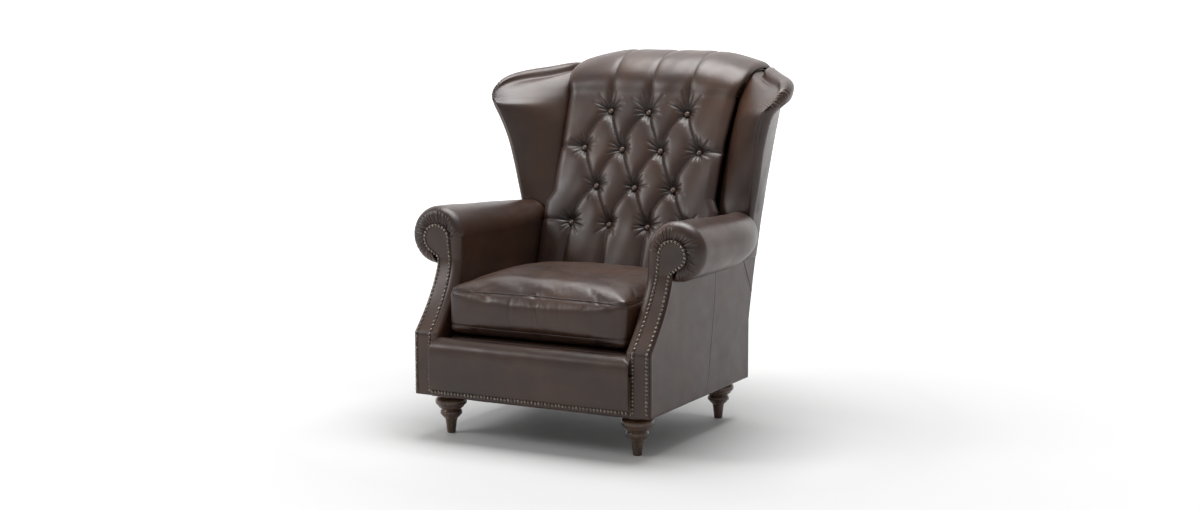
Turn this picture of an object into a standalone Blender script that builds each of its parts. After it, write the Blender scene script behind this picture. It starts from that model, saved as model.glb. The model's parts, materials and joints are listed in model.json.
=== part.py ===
"""Buttoned leather wing armchair, as a frame, springs, pads, covers, trim and legs.

Metres, +Z up, the floor at z = 0. The sitter faces -Y, so "left" is +X, the sitter's left.
"""

import math

import bmesh
import bpy
from mathutils import Matrix, Vector

# ---- Driving dimensions ------------------------------------------------------------
CLEARANCE = 0.0003  # between solids that fit or rest on each other
EASE = 0.003  # looser gap, where padding or a skin lies between

# Base
SEAT_HALF = 0.292  # centre to an arm's inner face
ARM_THICKNESS = 0.078  # an arm's inner face to its outside panel
BASE_FRONT = -0.481  # front face of the arm facings below the sweep
BASE_REAR = 0.172  # rear face of the outside back below the rake
LEG_HEIGHT = 0.1177
LEG_INSET_X = 0.075  # leg centre in from the outside panel
LEG_INSET_FRONT = 0.075
LEG_INSET_REAR = 0.052
STUD_RADIUS = 0.005
STUD_LENGTH = 0.032
RAIL_HEIGHT = 0.107
RAIL_THICKNESS = 0.026
FRONT_RAIL_INSET = 0.0143  # front rail behind the facings
RAIL_BEVEL = 0.002
BLOCK_SIDE = 0.075
BLOCK_HEIGHT = 0.075
STUD_BORE_SPARE = 0.006  # bore left over past the stud's end

# Arms
SWEEP_START = 0.294  # height where the arm front starts to lean back
SWEEP_END = 0.490  # height where it meets the roll
SWEEP_DEPTH = 0.126  # how far the roll's front sits behind the base's front
ROLL_BOTTOM = 0.468
ROLL_TOP_FRONT = 0.636
ROLL_TOP_REAR = 0.606
ROLL_WIDTH = 0.168
ROLL_REAR = 0.140
ARM_RAIL_HEIGHT = 0.060
POST_DEPTH = 0.045
ARM_PAD = 0.028
FACING_THICKNESS = 0.009
PANEL_THICKNESS = 0.006
SCROLL_HEAD = 0.0385  # radius of the nailed ring on the scroll
SCROLL_INSET = 0.079  # ring centre out from the arm's inner face
SCROLL_DROP = 0.093  # ring centre below the roll's top
ROLL_TAPER = 0.235  # length over which the roll slims to its rear end
FACING_EDGE = 0.006  # facing beyond its nail line
NAIL_FOOT = 0.016  # lowest nails above the base's lower edge
NAIL_RADIUS = 0.002
NAIL_INNER = 0.026  # inner nail line out from the arm's inner face
NAIL_OUTER = 0.068

# Seat
SPRING_COUNT = 4
SPRING_PITCH = 0.120
SPRING_WIRE = 0.0019
SPRING_LOOP = 0.030
SPRING_HALF_WIDTH = 0.024
DECK_THICKNESS = 0.0477
DECK_GAP = 0.010  # springs' room under the deck
DECK_BEVEL = 0.004
CUSHION_THICKNESS = 0.172
CUSHION_FRONT = 0.029  # cushion front behind the base's front
CUSHION_RAKE = 0.028
CUSHION_WALL = 0.002
CUSHION_EASE = 0.0035  # cushion's side to the arm
CUSHION_BACK_EASE = 0.006
CUSHION_ROUNDING = 0.030
ZIP_HALF = 0.20
ZIP_WIDTH = 0.012
FOAM_EASE = 0.001  # the foam's slack inside its case
BORDER_PROUD = 0.019  # padded border in front of the facings
BORDER_TOP = 0.283
BORDER_SHOULDER = 0.057  # height of the rolled top
BORDER_EASE = 0.0095  # border's end to the arm's pad

# Back
RAKE_START = 0.290
RAKE = 0.2234
RAKE_CURVE = 0.2199
BACK_TOP = 1.054
BACK_THICKNESS = 0.145  # front of the tufted pad to the outside back
BACK_PAD = 0.045
BACK_SIDE_EASE = 0.004  # tufted pad's side to an arm's inner face
WING_STEP = 0.020  # how much narrower the pad is between the wings
CROWN_SHARE = 0.59  # level part of the top, as a share of the pad's width
TOP_ROLL_RISE = 0.124
TOP_ROLL_REACH = 0.172
TOP_ROLL_REAR = 0.045
TOP_ROLL_FLAT = 0.0424
TOP_RAIL_THICKNESS = 0.040
POST_WIDTH = 0.035
POST_INSET = 0.011  # back post in from the outside panel
LOWER_RAIL_LIFT = 0.012
LOWER_RAIL_HEIGHT = 0.060
BACK_POST_DEPTH = 0.042

# Buttons: the distance between neighbours in a row, and the rows' heights
BUTTON_RADIUS = 0.009
BUTTON_HEIGHT = 0.007
BUTTON_SINK = 0.020  # back of a button below the pad's front
BUTTON_POCKET = 0.013
BUTTON_SIDES = 10
BUTTON_PITCH = 0.127
ROW_TOP = 0.881
ROW_PITCH = 0.1095
ROW_BUTTONS = (3, 4, 3, 4)

# Wings
WING_SPLAY = 0.114  # a wing's top beyond the outside panel
WING_PAD = 0.030
WING_EDGE = 0.018  # the front edge's roll
WING_PANEL = 0.006
WING_LIFT = 0.006  # wing's foot above the arm
WING_JOIN = 0.105  # where a wing meets the pad, ahead of the outside back
WING_RAIL_RADIUS = 0.008
WING_RAIL_GAP = 0.009  # rail behind the wing's pad

TURNED_STEPS = 16

# ---- Values that follow ------------------------------------------------------------
OUTSIDE = SEAT_HALF + ARM_THICKNESS
PANEL_INNER = OUTSIDE - PANEL_THICKNESS
BACK_HALF_LOW = SEAT_HALF - BACK_SIDE_EASE
BACK_HALF_HIGH = BACK_HALF_LOW - WING_STEP
BACK_CROWN_HALF = BACK_HALF_HIGH * CROWN_SHARE
WING_TOP_HALF = OUTSIDE + WING_SPLAY
FRAME_BOTTOM = LEG_HEIGHT + CLEARANCE
RAIL_TOP = FRAME_BOTTOM + RAIL_HEIGHT
POST_INNER = SEAT_HALF + ARM_PAD + CLEARANCE
POST_OUTER = PANEL_INNER - CLEARANCE
LEG_X = OUTSIDE - LEG_INSET_X
LEG_FRONT_Y = BASE_FRONT + LEG_INSET_FRONT
LEG_REAR_Y = BASE_REAR - LEG_INSET_REAR
RAIL_FRONT = BASE_FRONT + FACING_THICKNESS + FRONT_RAIL_INSET
RAIL_FRONT_BACK = RAIL_FRONT + RAIL_THICKNESS
BACK_POST_INNER = PANEL_INNER - POST_INSET - POST_WIDTH
REAR_RAIL_BACK = BASE_REAR - PANEL_THICKNESS - CLEARANCE
DECK_BOTTOM = RAIL_TOP + DECK_GAP
DECK_TOP = DECK_BOTTOM + DECK_THICKNESS
CUSHION_BOTTOM = max(DECK_TOP, BORDER_TOP) + 2 * CLEARANCE
ARM_RAIL_BOTTOM = ROLL_BOTTOM
ARM_RAIL_TOP = ARM_RAIL_BOTTOM + ARM_RAIL_HEIGHT
WING_BOTTOM = ROLL_TOP_REAR + WING_LIFT
WING_LEDGE = BACK_TOP - TOP_ROLL_RISE + 0.001
TOP_RAIL_TOP = BACK_TOP - 0.064
TOP_RAIL_BOTTOM = BACK_TOP - TOP_ROLL_RISE - 0.010
SIDES = (("left", 1), ("right", -1))


def steps(low, high, count):
    return [low + (high - low) * i / count for i in range(count + 1)]


def blend(pairs, value):
    """Straight-line reading of (value, result) pairs, which rise in value."""
    if value <= pairs[0][0]:
        return pairs[0][1]
    for (v0, r0), (v1, r1) in zip(pairs, pairs[1:]):
        if value <= v1:
            return r0 + (r1 - r0) * (value - v0) / (v1 - v0)
    return pairs[-1][1]


def rake_curve(z):
    rise = z - RAKE_START
    return BASE_REAR + RAKE * rise + RAKE_CURVE * rise * rise


def sweep_curve(z):
    part = (z - SWEEP_START) / (SWEEP_END - SWEEP_START)
    return BASE_FRONT + SWEEP_DEPTH * (1 - (1 - part) ** 1.5)


# Every piece along the back or the arm fronts bends at the same heights, so they lie on each other.
RAKE_BENDS = steps(RAKE_START, WING_LEDGE, 8)
SWEEP_BENDS = steps(SWEEP_START, SWEEP_END, 7)
RAKE_LINE = [(z, rake_curve(z)) for z in RAKE_BENDS]
SWEEP_LINE = [(z, sweep_curve(z)) for z in SWEEP_BENDS]


def rear_line(z):
    """y of the outside back's surface at height z: upright at the base, then raked and curving away."""
    return blend(RAKE_LINE, z)


def front_line(z):
    """y of an arm facing's front at height z: upright, then sweeping back to the roll."""
    return blend(SWEEP_LINE, z)


def rake_slope(z):
    return RAKE + 2 * RAKE_CURVE * max(0.0, z - RAKE_START)


def levels(low, high, bends):
    """Heights from low to high, with each bend between them."""
    return [low] + [z for z in bends if low + 0.002 < z < high - 0.002] + [high]


# ---- Scene, materials and helpers --------------------------------------------------
for old in list(bpy.data.objects):
    bpy.data.objects.remove(old, do_unlink=True)

chair = bpy.data.collections.new("wing_armchair")
cutters = bpy.data.collections.new("cutters")
for made in (chair, cutters):
    bpy.context.scene.collection.children.link(made)
cutters.hide_render = True


def material(name, color, roughness, metallic=0.0):
    made = bpy.data.materials.new(name)
    made.use_nodes = True
    shader = made.node_tree.nodes["Principled BSDF"]
    shader.inputs["Base Color"].default_value = (*color, 1.0)
    shader.inputs["Roughness"].default_value = roughness
    shader.inputs["Metallic"].default_value = metallic
    made.diffuse_color = (*color, 1.0)
    return made


LEATHER = material("brown_leather", (0.045, 0.022, 0.016), 0.42)
BEECH = material("beech", (0.45, 0.30, 0.17), 0.6)
WALNUT = material("turned_walnut", (0.11, 0.045, 0.022), 0.38)
FOAM = material("foam", (0.75, 0.68, 0.45), 0.9)
STEEL = material("spring_steel", (0.35, 0.35, 0.36), 0.35, 1.0)
BRONZE = material("antique_nails", (0.12, 0.085, 0.06), 0.4, 0.9)
LINING = material("black_lining", (0.02, 0.02, 0.02), 0.9)


def keep(obj, finish, bevel=0.0):
    """Puts a finished piece in the chair's collection, with its own copy of the finish."""
    for holder in list(obj.users_collection):
        holder.objects.unlink(obj)
    chair.objects.link(obj)
    own = finish.copy()
    own.name = f"{obj.name}_{finish.name}"
    obj.data.materials.clear()
    obj.data.materials.append(own)
    if bevel:
        edge = obj.modifiers.new("edges", "BEVEL")
        edge.width = bevel
        edge.segments = 1
        edge.limit_method = "ANGLE"
    return obj


def as_cutter(obj):
    for holder in list(obj.users_collection):
        holder.objects.unlink(obj)
    cutters.objects.link(obj)
    obj.hide_render = True
    obj.display_type = "WIRE"
    return obj


def shape_with(obj, other, operation):
    """Cuts obj by other, or keeps what both hold."""
    step = obj.modifiers.new(operation.lower(), "BOOLEAN")
    step.operation = operation
    step.solver = "EXACT"
    step.object = as_cutter(other)
    return obj


def mesh_object(name, shape):
    data = bpy.data.meshes.new(name)
    bmesh.ops.recalc_face_normals(shape, faces=shape.faces)
    shape.to_mesh(data)
    shape.free()
    obj = bpy.data.objects.new(name, data)
    bpy.context.scene.collection.objects.link(obj)
    return obj


def block(name, low, high):
    """A box between two corners."""
    size = [b - a for a, b in zip(low, high)]
    middle = [(a + b) / 2 for a, b in zip(low, high)]
    shape = bmesh.new()
    bmesh.ops.create_cube(shape, size=1.0, matrix=Matrix.Diagonal((*size, 1.0)))
    obj = mesh_object(name, shape)
    obj.location = middle
    return obj


def prism(name, outline, plane, low, high):
    """A flat outline with thickness. plane YZ runs along x, XZ along y and XY along z."""
    data = bpy.data.curves.new(name, "CURVE")
    data.dimensions = "2D"
    data.fill_mode = "BOTH"
    data.extrude = (high - low) / 2
    line = data.splines.new("POLY")
    line.points.add(len(outline) - 1)
    for point, (u, v) in zip(line.points, outline):
        point.co = (u, v, 0.0, 1.0)
    line.use_cyclic_u = True
    flat = bpy.data.objects.new(name, data)
    bpy.context.scene.collection.objects.link(flat)
    middle = (low + high) / 2
    if plane == "YZ":
        flat.rotation_euler = (math.pi / 2, 0.0, math.pi / 2)
        flat.location = (middle, 0.0, 0.0)
    elif plane == "XZ":
        flat.rotation_euler = (math.pi / 2, 0.0, 0.0)
        flat.location = (0.0, middle, 0.0)
    else:
        flat.location = (0.0, 0.0, middle)
    return solid_from_curve(flat)


def solid_from_curve(curve_object):
    """The curve as a mesh with its caps joined on, in the curve's own place."""
    bpy.context.view_layer.update()
    seen = curve_object.evaluated_get(bpy.context.evaluated_depsgraph_get())
    data = bpy.data.meshes.new_from_object(seen)
    place = curve_object.matrix_world.copy()
    name = curve_object.name
    bpy.data.objects.remove(curve_object, do_unlink=True)
    shape = bmesh.new()
    shape.from_mesh(data)
    bpy.data.meshes.remove(data)
    bmesh.ops.remove_doubles(shape, verts=shape.verts, dist=0.00001)
    obj = mesh_object(name, shape)
    obj.name = name
    obj.matrix_world = place
    return obj


def loft(name, rings):
    """A solid through flat rings that hold the same number of points."""
    shape = bmesh.new()
    rows = [[shape.verts.new(point) for point in ring] for ring in rings]
    count = len(rows[0])
    for row, following in zip(rows, rows[1:]):
        for i in range(count):
            j = (i + 1) % count
            shape.faces.new((row[i], row[j], following[j], following[i]))
    shape.faces.new(rows[0])
    shape.faces.new(list(reversed(rows[-1])))
    return mesh_object(name, shape)


def turned(name, profile, place, steps_round=TURNED_STEPS):
    """A turned piece: (radius, height) points down its outer side, spun round the vertical."""
    data = bpy.data.meshes.new(name)
    points = [(radius, 0.0, height) for radius, height in profile]
    data.from_pydata(points, [(i, i + 1) for i in range(len(points) - 1)], [])
    obj = bpy.data.objects.new(name, data)
    obj.location = place
    spin = obj.modifiers.new("spin", "SCREW")
    spin.steps = steps_round
    spin.render_steps = steps_round
    spin.use_merge_vertices = True
    spin.merge_threshold = 0.00001
    return obj


def rod(name, points, radius, resolution=2):
    """A round rod or wire along straight stretches between points."""
    data = bpy.data.curves.new(name, "CURVE")
    data.dimensions = "3D"
    data.bevel_depth = radius
    data.bevel_resolution = resolution
    data.use_fill_caps = True
    line = data.splines.new("POLY")
    line.points.add(len(points) - 1)
    for point, place in zip(line.points, points):
        point.co = (*place, 1.0)
    return bpy.data.objects.new(name, data)


def mirrored(points, side):
    return [(side * x, y, z) for x, y, z in points]


def between(side, x0, x1):
    """Low and high of a stretch of x on one side of the chair."""
    return sorted((side * x0, side * x1))


# ---- Legs --------------------------------------------------------------------------
def leg_profile():
    """Collar, step, ring, waist and taper of a turned bun leg, with its fixing stud."""
    top = LEG_HEIGHT
    return [
        (0.0, top + STUD_LENGTH),
        (STUD_RADIUS, top + STUD_LENGTH),
        (STUD_RADIUS, top),
        (0.031, top),
        (0.031, 0.104),
        (0.0405, 0.102),
        (0.0445, 0.096),
        (0.0445, 0.088),
        (0.040, 0.080),
        (0.0335, 0.074),
        (0.0285, 0.068),
        (0.0310, 0.061),
        (0.0300, 0.053),
        (0.0235, 0.046),
        (0.0170, 0.041),
        (0.0150, 0.030),
        (0.0125, 0.010),
        (0.0120, 0.0),
        (0.0, 0.0),
    ]


def make_legs():
    for end, y in (("front", LEG_FRONT_Y), ("rear", LEG_REAR_Y)):
        for name, side in SIDES:
            leg = turned(f"leg_{end}_{name}", leg_profile(), (side * LEG_X, y, 0.0))
            keep(leg, WALNUT)


# ---- Frame -------------------------------------------------------------------------
def make_base_rails():
    front = block(
        "front_rail",
        (-POST_INNER + CLEARANCE, RAIL_FRONT, FRAME_BOTTOM),
        (POST_INNER - CLEARANCE, RAIL_FRONT_BACK, RAIL_TOP),
    )
    keep(front, BEECH, bevel=RAIL_BEVEL)
    rear_half = BACK_POST_INNER - CLEARANCE
    rear = block(
        "rear_rail",
        (-rear_half, REAR_RAIL_BACK - RAIL_THICKNESS, FRAME_BOTTOM),
        (rear_half, REAR_RAIL_BACK, RAIL_TOP),
    )
    keep(rear, BEECH, bevel=RAIL_BEVEL)
    for name, side in SIDES:
        x0, x1 = between(side, POST_OUTER - RAIL_THICKNESS, POST_OUTER)
        start = post_back(FRAME_BOTTOM) + CLEARANCE
        stop = REAR_RAIL_BACK - BACK_POST_DEPTH - CLEARANCE
        rail = block(f"side_rail_{name}", (x0, start, FRAME_BOTTOM), (x1, stop, RAIL_TOP))
        keep(rail, BEECH, bevel=RAIL_BEVEL)


def post_front(z):
    return front_line(z) + FACING_THICKNESS + CLEARANCE


def post_back(z):
    return post_front(z) + POST_DEPTH


def make_arm_posts():
    """The sawn front stumps, which follow the sweep of the arm fronts."""
    heights = levels(FRAME_BOTTOM, ARM_RAIL_BOTTOM - CLEARANCE, SWEEP_BENDS)
    outline = [(post_front(z), z) for z in heights]
    outline += [(post_back(z), z) for z in reversed(heights)]
    for name, side in SIDES:
        x0, x1 = between(side, POST_INNER, POST_OUTER)
        keep(prism(f"arm_post_{name}", outline, "YZ", x0, x1), BEECH)


def arm_rail_rear():
    return rear_line(ARM_RAIL_BOTTOM) - PANEL_THICKNESS - BACK_POST_DEPTH - 2 * CLEARANCE


def make_arm_rails():
    start = front_line(ROLL_TOP_FRONT) + FACING_THICKNESS + CLEARANCE
    for name, side in SIDES:
        x0, x1 = between(side, POST_INNER, POST_OUTER - EASE)
        rail = block(
            f"arm_rail_{name}",
            (x0, start, ARM_RAIL_BOTTOM),
            (x1, arm_rail_rear(), ARM_RAIL_TOP),
        )
        keep(rail, BEECH, bevel=RAIL_BEVEL)


def make_back_posts():
    """The long raked posts that carry the back and the wings."""
    heights = levels(FRAME_BOTTOM, WING_LEDGE - 0.011, RAKE_BENDS)
    skin = PANEL_THICKNESS + CLEARANCE
    outline = [(rear_line(z) - skin - BACK_POST_DEPTH, z) for z in heights]
    outline += [(rear_line(z) - skin, z) for z in reversed(heights)]
    for name, side in SIDES:
        x0, x1 = between(side, BACK_POST_INNER, BACK_POST_INNER + POST_WIDTH)
        keep(prism(f"back_post_{name}", outline, "YZ", x0, x1), BEECH)


def top_rail_y():
    """Front and back of the rail inside the top roll."""
    back = rear_line(TOP_RAIL_BOTTOM) - PANEL_THICKNESS - EASE
    return back - TOP_RAIL_THICKNESS, back


def make_back_rails():
    low, high = top_rail_y()
    half = BACK_HALF_HIGH
    top = block(
        "back_top_rail",
        (-half, low + CLEARANCE, TOP_RAIL_BOTTOM),
        (half, high - CLEARANCE, TOP_RAIL_TOP - CLEARANCE),
    )
    keep(top, BEECH, bevel=RAIL_BEVEL)
    half = BACK_POST_INNER - CLEARANCE
    seat_line = RAKE_START + LOWER_RAIL_LIFT
    back = rear_line(seat_line) - PANEL_THICKNESS - CLEARANCE - EASE
    lower = block(
        "back_lower_rail",
        (-half, back - RAIL_THICKNESS, seat_line),
        (half, back, seat_line + LOWER_RAIL_HEIGHT),
    )
    keep(lower, BEECH, bevel=RAIL_BEVEL)


def make_corner_blocks():
    """Glued blocks inside the corners; each is bored for its leg's stud."""
    for end in ("front", "rear"):
        for name, side in SIDES:
            outer = POST_OUTER - RAIL_THICKNESS - CLEARANCE
            if end == "front":
                outer = POST_INNER - CLEARANCE
                y0 = RAIL_FRONT_BACK + CLEARANCE
                y1 = y0 + BLOCK_SIDE
                leg_y = LEG_FRONT_Y
            else:
                outer = BACK_POST_INNER - CLEARANCE
                y1 = REAR_RAIL_BACK - RAIL_THICKNESS - CLEARANCE
                y0 = y1 - BLOCK_SIDE
                leg_y = LEG_REAR_Y
            x0, x1 = between(side, outer - BLOCK_SIDE, outer)
            piece = block(
                f"corner_block_{end}_{name}",
                (x0, y0, FRAME_BOTTOM),
                (x1, y1, FRAME_BOTTOM + BLOCK_HEIGHT),
            )
            bore = turned(
                f"stud_bore_{end}_{name}",
                [
                    (0.0, STUD_LENGTH + STUD_BORE_SPARE),
                    (STUD_RADIUS + 2 * CLEARANCE, STUD_LENGTH + STUD_BORE_SPARE),
                    (STUD_RADIUS + 2 * CLEARANCE, -0.010),
                    (0.0, -0.010),
                ],
                (side * LEG_X, leg_y, FRAME_BOTTOM),
            )
            keep(shape_with(piece, bore, "DIFFERENCE"), BEECH)


def behind_wing_pad(z, inset):
    """Centre of the wing rail at height z, inset from the wing's front edge, clear of its pad."""
    (near_x, near_y, _), (middle_x, middle_y, _) = wing_pad_ring(z)[5:7]
    slope = (middle_y - near_y) / (near_x - middle_x)
    x = wing_front(z)[0] - inset
    clear = (WING_RAIL_RADIUS + WING_RAIL_GAP) * math.hypot(1.0, slope)
    return x, near_y + slope * (near_x - x) + clear, z


def make_wing_rails():
    """Bent rails that hold up each wing's front edge and top, from the arm rail to the back post."""
    radius = WING_RAIL_RADIUS
    foot_y = arm_rail_rear() - 0.012
    foot_x = POST_OUTER - 0.018
    foot_z = ARM_RAIL_TOP + CLEARANCE
    for name, side in SIDES:
        points = [(foot_x, foot_y, foot_z), (foot_x, foot_y, foot_z + 0.015)]
        for z in steps(WING_BOTTOM + 0.004, WING_LEDGE - 0.040, 4):
            points.append(behind_wing_pad(z, 0.038))
        end_z = WING_LEDGE - 0.018
        points.append(behind_wing_pad(end_z, 0.055))
        end_y = rear_line(end_z) - PANEL_THICKNESS - BACK_POST_DEPTH - radius
        points.append((BACK_POST_INNER + POST_WIDTH - 0.006, end_y - 0.006, end_z))
        keep(rod(f"wing_rail_{name}", mirrored(points, side), radius), BEECH)


# ---- Springs, deck and dust cover --------------------------------------------------
def make_springs():
    """Sinuous springs from the front rail to the rear rail."""
    start = RAIL_FRONT + 0.010
    stop = REAR_RAIL_BACK - 0.010
    height = RAIL_TOP + SPRING_WIRE + CLEARANCE
    loops = int((stop - start) / SPRING_LOOP)
    pitch = (stop - start) / loops
    flat = pitch * 0.28
    for number in range(SPRING_COUNT):
        x = (number - (SPRING_COUNT - 1) / 2) * SPRING_PITCH
        points = [(x, start, height)]
        for i in range(loops):
            turn = 1 if i % 2 else -1
            y = start + pitch * (i + 0.5)
            points.append((x + turn * SPRING_HALF_WIDTH, y - flat, height))
            points.append((x + turn * SPRING_HALF_WIDTH, y + flat, height))
        points.append((x, stop, height))
        keep(rod(f"seat_spring_{number + 1}", points, SPRING_WIRE, resolution=1), STEEL)


def make_deck():
    """The padded platform under the cushion, with its rear corners clear of the back posts."""
    half = SEAT_HALF - CLEARANCE
    deck = block(
        "seat_deck",
        (-half, RAIL_FRONT_BACK + CLEARANCE, DECK_BOTTOM),
        (half, REAR_RAIL_BACK - BACK_POST_DEPTH - EASE, DECK_TOP),
    )
    keep(deck, LEATHER, bevel=DECK_BEVEL)


def make_dust_cover():
    """The cloth under the seat, cut away at the corners for the legs."""
    half = OUTSIDE - 0.014
    front = BASE_FRONT + 0.020
    rear = BASE_REAR - 0.012
    notch_x = LEG_X - 0.040
    notch_front = LEG_FRONT_Y + 0.040
    notch_rear = LEG_REAR_Y - 0.040
    outline = []
    for sx, sy in ((1, -1), (1, 1), (-1, 1), (-1, -1)):
        edge_y, cut_y = (front, notch_front) if sy < 0 else (rear, notch_rear)
        corner = [(sx * notch_x, edge_y), (sx * notch_x, cut_y), (sx * half, cut_y)]
        outline += corner if sx * sy < 0 else corner[::-1]
    cover = prism("dust_cover", outline, "XY", FRAME_BOTTOM - 0.002, FRAME_BOTTOM - CLEARANCE)
    keep(cover, LINING)


def make_front_border():
    """The padded border over the front rail, with a soft roll along its top."""
    front = BASE_FRONT - BORDER_PROUD
    behind = RAIL_FRONT - CLEARANCE
    over = RAIL_TOP + 2 * SPRING_WIRE + 3 * CLEARANCE
    back = RAIL_FRONT_BACK
    outline = [(behind, FRAME_BOTTOM), (front + 0.014, FRAME_BOTTOM), (front + 0.004, 0.165)]
    reach = (back - front) / 2
    middle = front + reach
    shoulder = BORDER_TOP - BORDER_SHOULDER
    for angle in steps(180, 0, 8):
        turn = math.radians(angle)
        outline.append((middle + reach * math.cos(turn), shoulder + BORDER_SHOULDER * math.sin(turn)))
    outline[-1] = (back, over)
    outline.append((behind, over))
    half = POST_INNER - BORDER_EASE
    keep(prism("front_border", outline, "YZ", -half, half), LEATHER)


# ---- Arms --------------------------------------------------------------------------
def roll_top(y):
    start = BASE_FRONT + SWEEP_DEPTH
    share = (y - start) / (ROLL_REAR - start)
    return ROLL_TOP_FRONT + (ROLL_TOP_REAR - ROLL_TOP_FRONT) * min(1.0, max(0.0, share))


def roll_outer(y):
    """How far out the roll reaches at y: full, then tapering to its rounded rear end."""
    full = SEAT_HALF + ROLL_WIDTH
    slim = OUTSIDE + 0.004
    start = ROLL_REAR - ROLL_TAPER
    share = min(1.0, max(0.0, (y - start) / (ROLL_REAR - start)))
    return slim + (full - slim) * math.sqrt(max(0.0, 1 - share * share))


def arm_section(y):
    """Ring in (x, z) round the inside arm: board, roll, and the slot that holds the arm rail."""
    outer = roll_outer(y)
    top = roll_top(y)
    half = (outer - SEAT_HALF) / 2
    rise = (top - ROLL_BOTTOM) / 2
    middle_x = SEAT_HALF + half
    middle_z = ROLL_BOTTOM + rise
    slot_outer = POST_OUTER - EASE + CLEARANCE
    slot_inner = POST_INNER - CLEARANCE
    last = -math.acos(max(-1.0, min(1.0, (slot_outer + 0.004 - middle_x) / half)))
    ring = [(SEAT_HALF, DECK_BOTTOM)]
    for angle in steps(math.pi, last, 14):
        ring.append((middle_x + half * math.cos(angle), middle_z + rise * math.sin(angle)))
    ring.append((slot_outer, ring[-1][1]))
    ring.append((slot_outer, ARM_RAIL_TOP + CLEARANCE))
    ring.append((slot_inner, ARM_RAIL_TOP + CLEARANCE))
    ring.append((slot_inner, DECK_BOTTOM))
    return ring


def arm_side_outline():
    """(y, z) outline of the inside arm: swept front, level underside behind the border."""
    skin = FACING_THICKNESS + CLEARANCE
    low = BORDER_TOP + 0.002
    outline = [(RAIL_FRONT_BACK + 2 * CLEARANCE, DECK_BOTTOM - 0.02)]
    outline.append((RAIL_FRONT_BACK + 2 * CLEARANCE, low))
    for z in levels(low, ROLL_TOP_FRONT + 0.02, SWEEP_BENDS):
        outline.append((front_line(z) + skin, z))
    board_rear = REAR_RAIL_BACK - BACK_POST_DEPTH - 2 * CLEARANCE
    outline.append((ROLL_REAR, ROLL_TOP_FRONT + 0.02))
    outline.append((ROLL_REAR, ROLL_BOTTOM))
    outline.append((board_rear, ROLL_BOTTOM - 0.03))
    outline.append((board_rear, DECK_BOTTOM - 0.02))
    return outline


def make_inside_arms():
    places = [BASE_FRONT - 0.01, ROLL_REAR - ROLL_TAPER]
    places += [ROLL_REAR - ROLL_TAPER * math.cos(math.radians(a)) for a in (40, 58, 72, 82, 88)]
    places.append(ROLL_REAR + 0.01)
    for name, side in SIDES:
        rings = [[(side * x, y, z) for x, z in arm_section(y)] for y in places]
        pad = loft(f"inside_arm_{name}", rings)
        x0, x1 = between(side, SEAT_HALF - 0.02, SEAT_HALF + ROLL_WIDTH + 0.02)
        trim = prism(f"inside_arm_trim_{name}", arm_side_outline(), "YZ", x0, x1)
        keep(shape_with(pad, trim, "INTERSECT"), LEATHER)


def make_outside_arms():
    """The panels outside the arms, from under the roll down to the base's lower edge."""
    top = ROLL_BOTTOM - 0.0025
    edge = 0.012
    outline = [(front_line(z) + edge, z) for z in levels(FRAME_BOTTOM, top, SWEEP_BENDS)]
    skin = PANEL_THICKNESS + CLEARANCE
    rear = [(rear_line(z) - skin, z) for z in levels(FRAME_BOTTOM, top, RAKE_BENDS)]
    outline += reversed(rear)
    for name, side in SIDES:
        x0, x1 = between(side, PANEL_INNER, OUTSIDE)
        keep(prism(f"outside_arm_{name}", outline, "YZ", x0, x1), LEATHER)


def scroll_centre():
    return SEAT_HALF + SCROLL_INSET, ROLL_TOP_FRONT - SCROLL_DROP


def nail_line(spread):
    """(x, z) route of the nails round a facing; spread moves it outwards, for the facing's edge."""
    centre_x, centre_z = scroll_centre()
    radius = SCROLL_HEAD + spread
    inner = SEAT_HALF + NAIL_INNER - spread
    outer = SEAT_HALF + NAIL_OUTER + spread
    low = FRAME_BOTTOM + NAIL_FOOT - 2 * spread
    route = [(inner, low), (inner, SWEEP_START)]
    for share in steps(0, 1, 4)[1:-1]:
        x = inner + (centre_x - radius - inner) * share * share
        route.append((x, SWEEP_START + (centre_z - SWEEP_START) * share))
    for angle in steps(180, -62, 14):
        turn = math.radians(angle)
        route.append((centre_x + radius * math.cos(turn), centre_z + radius * math.sin(turn)))
    route.append((outer + 0.004, SWEEP_END + 0.004 - spread))
    route.append((outer + 0.001, SWEEP_END - 0.020))
    route.append((outer, SWEEP_START))
    route.append((outer, low))
    return route


def make_facings():
    """The nailed front panels: a tapering stem and a round scroll head, swept back with the arm."""
    skin = FACING_THICKNESS
    heights = levels(FRAME_BOTTOM, ROLL_TOP_FRONT, SWEEP_BENDS)
    sweep = [(front_line(z), z) for z in heights]
    sweep += [(front_line(z) + skin, z) for z in reversed(heights)]
    for name, side in SIDES:
        outline = [(side * x, z) for x, z in nail_line(FACING_EDGE)]
        deep = BASE_FRONT + SWEEP_DEPTH + 0.03
        panel = prism(f"arm_facing_{name}", outline, "XZ", BASE_FRONT - 0.02, deep)
        x0, x1 = between(side, SEAT_HALF - 0.02, SEAT_HALF + ROLL_WIDTH)
        band = prism(f"facing_sweep_{name}", sweep, "YZ", x0, x1)
        keep(shape_with(panel, band, "INTERSECT"), LEATHER)


def make_nail_trims():
    """Nailhead trim as a bead: round each facing, and along the foot of the front border."""
    lift = NAIL_RADIUS + CLEARANCE + 0.0008
    for name, side in SIDES:
        route = [(side * x, front_line(z) - lift, z) for x, z in fine_route(nail_line(0.0))]
        keep(rod(f"nail_trim_arm_{name}", route, NAIL_RADIUS, resolution=1), BRONZE)
    z = FRAME_BOTTOM + 0.014
    half = SEAT_HALF + 0.012
    y = BASE_FRONT - BORDER_PROUD + 0.0095 - lift
    ends = [(-half, y, z), (half, y, z)]
    keep(rod("nail_trim_front", ends, NAIL_RADIUS, resolution=1), BRONZE)


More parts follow.
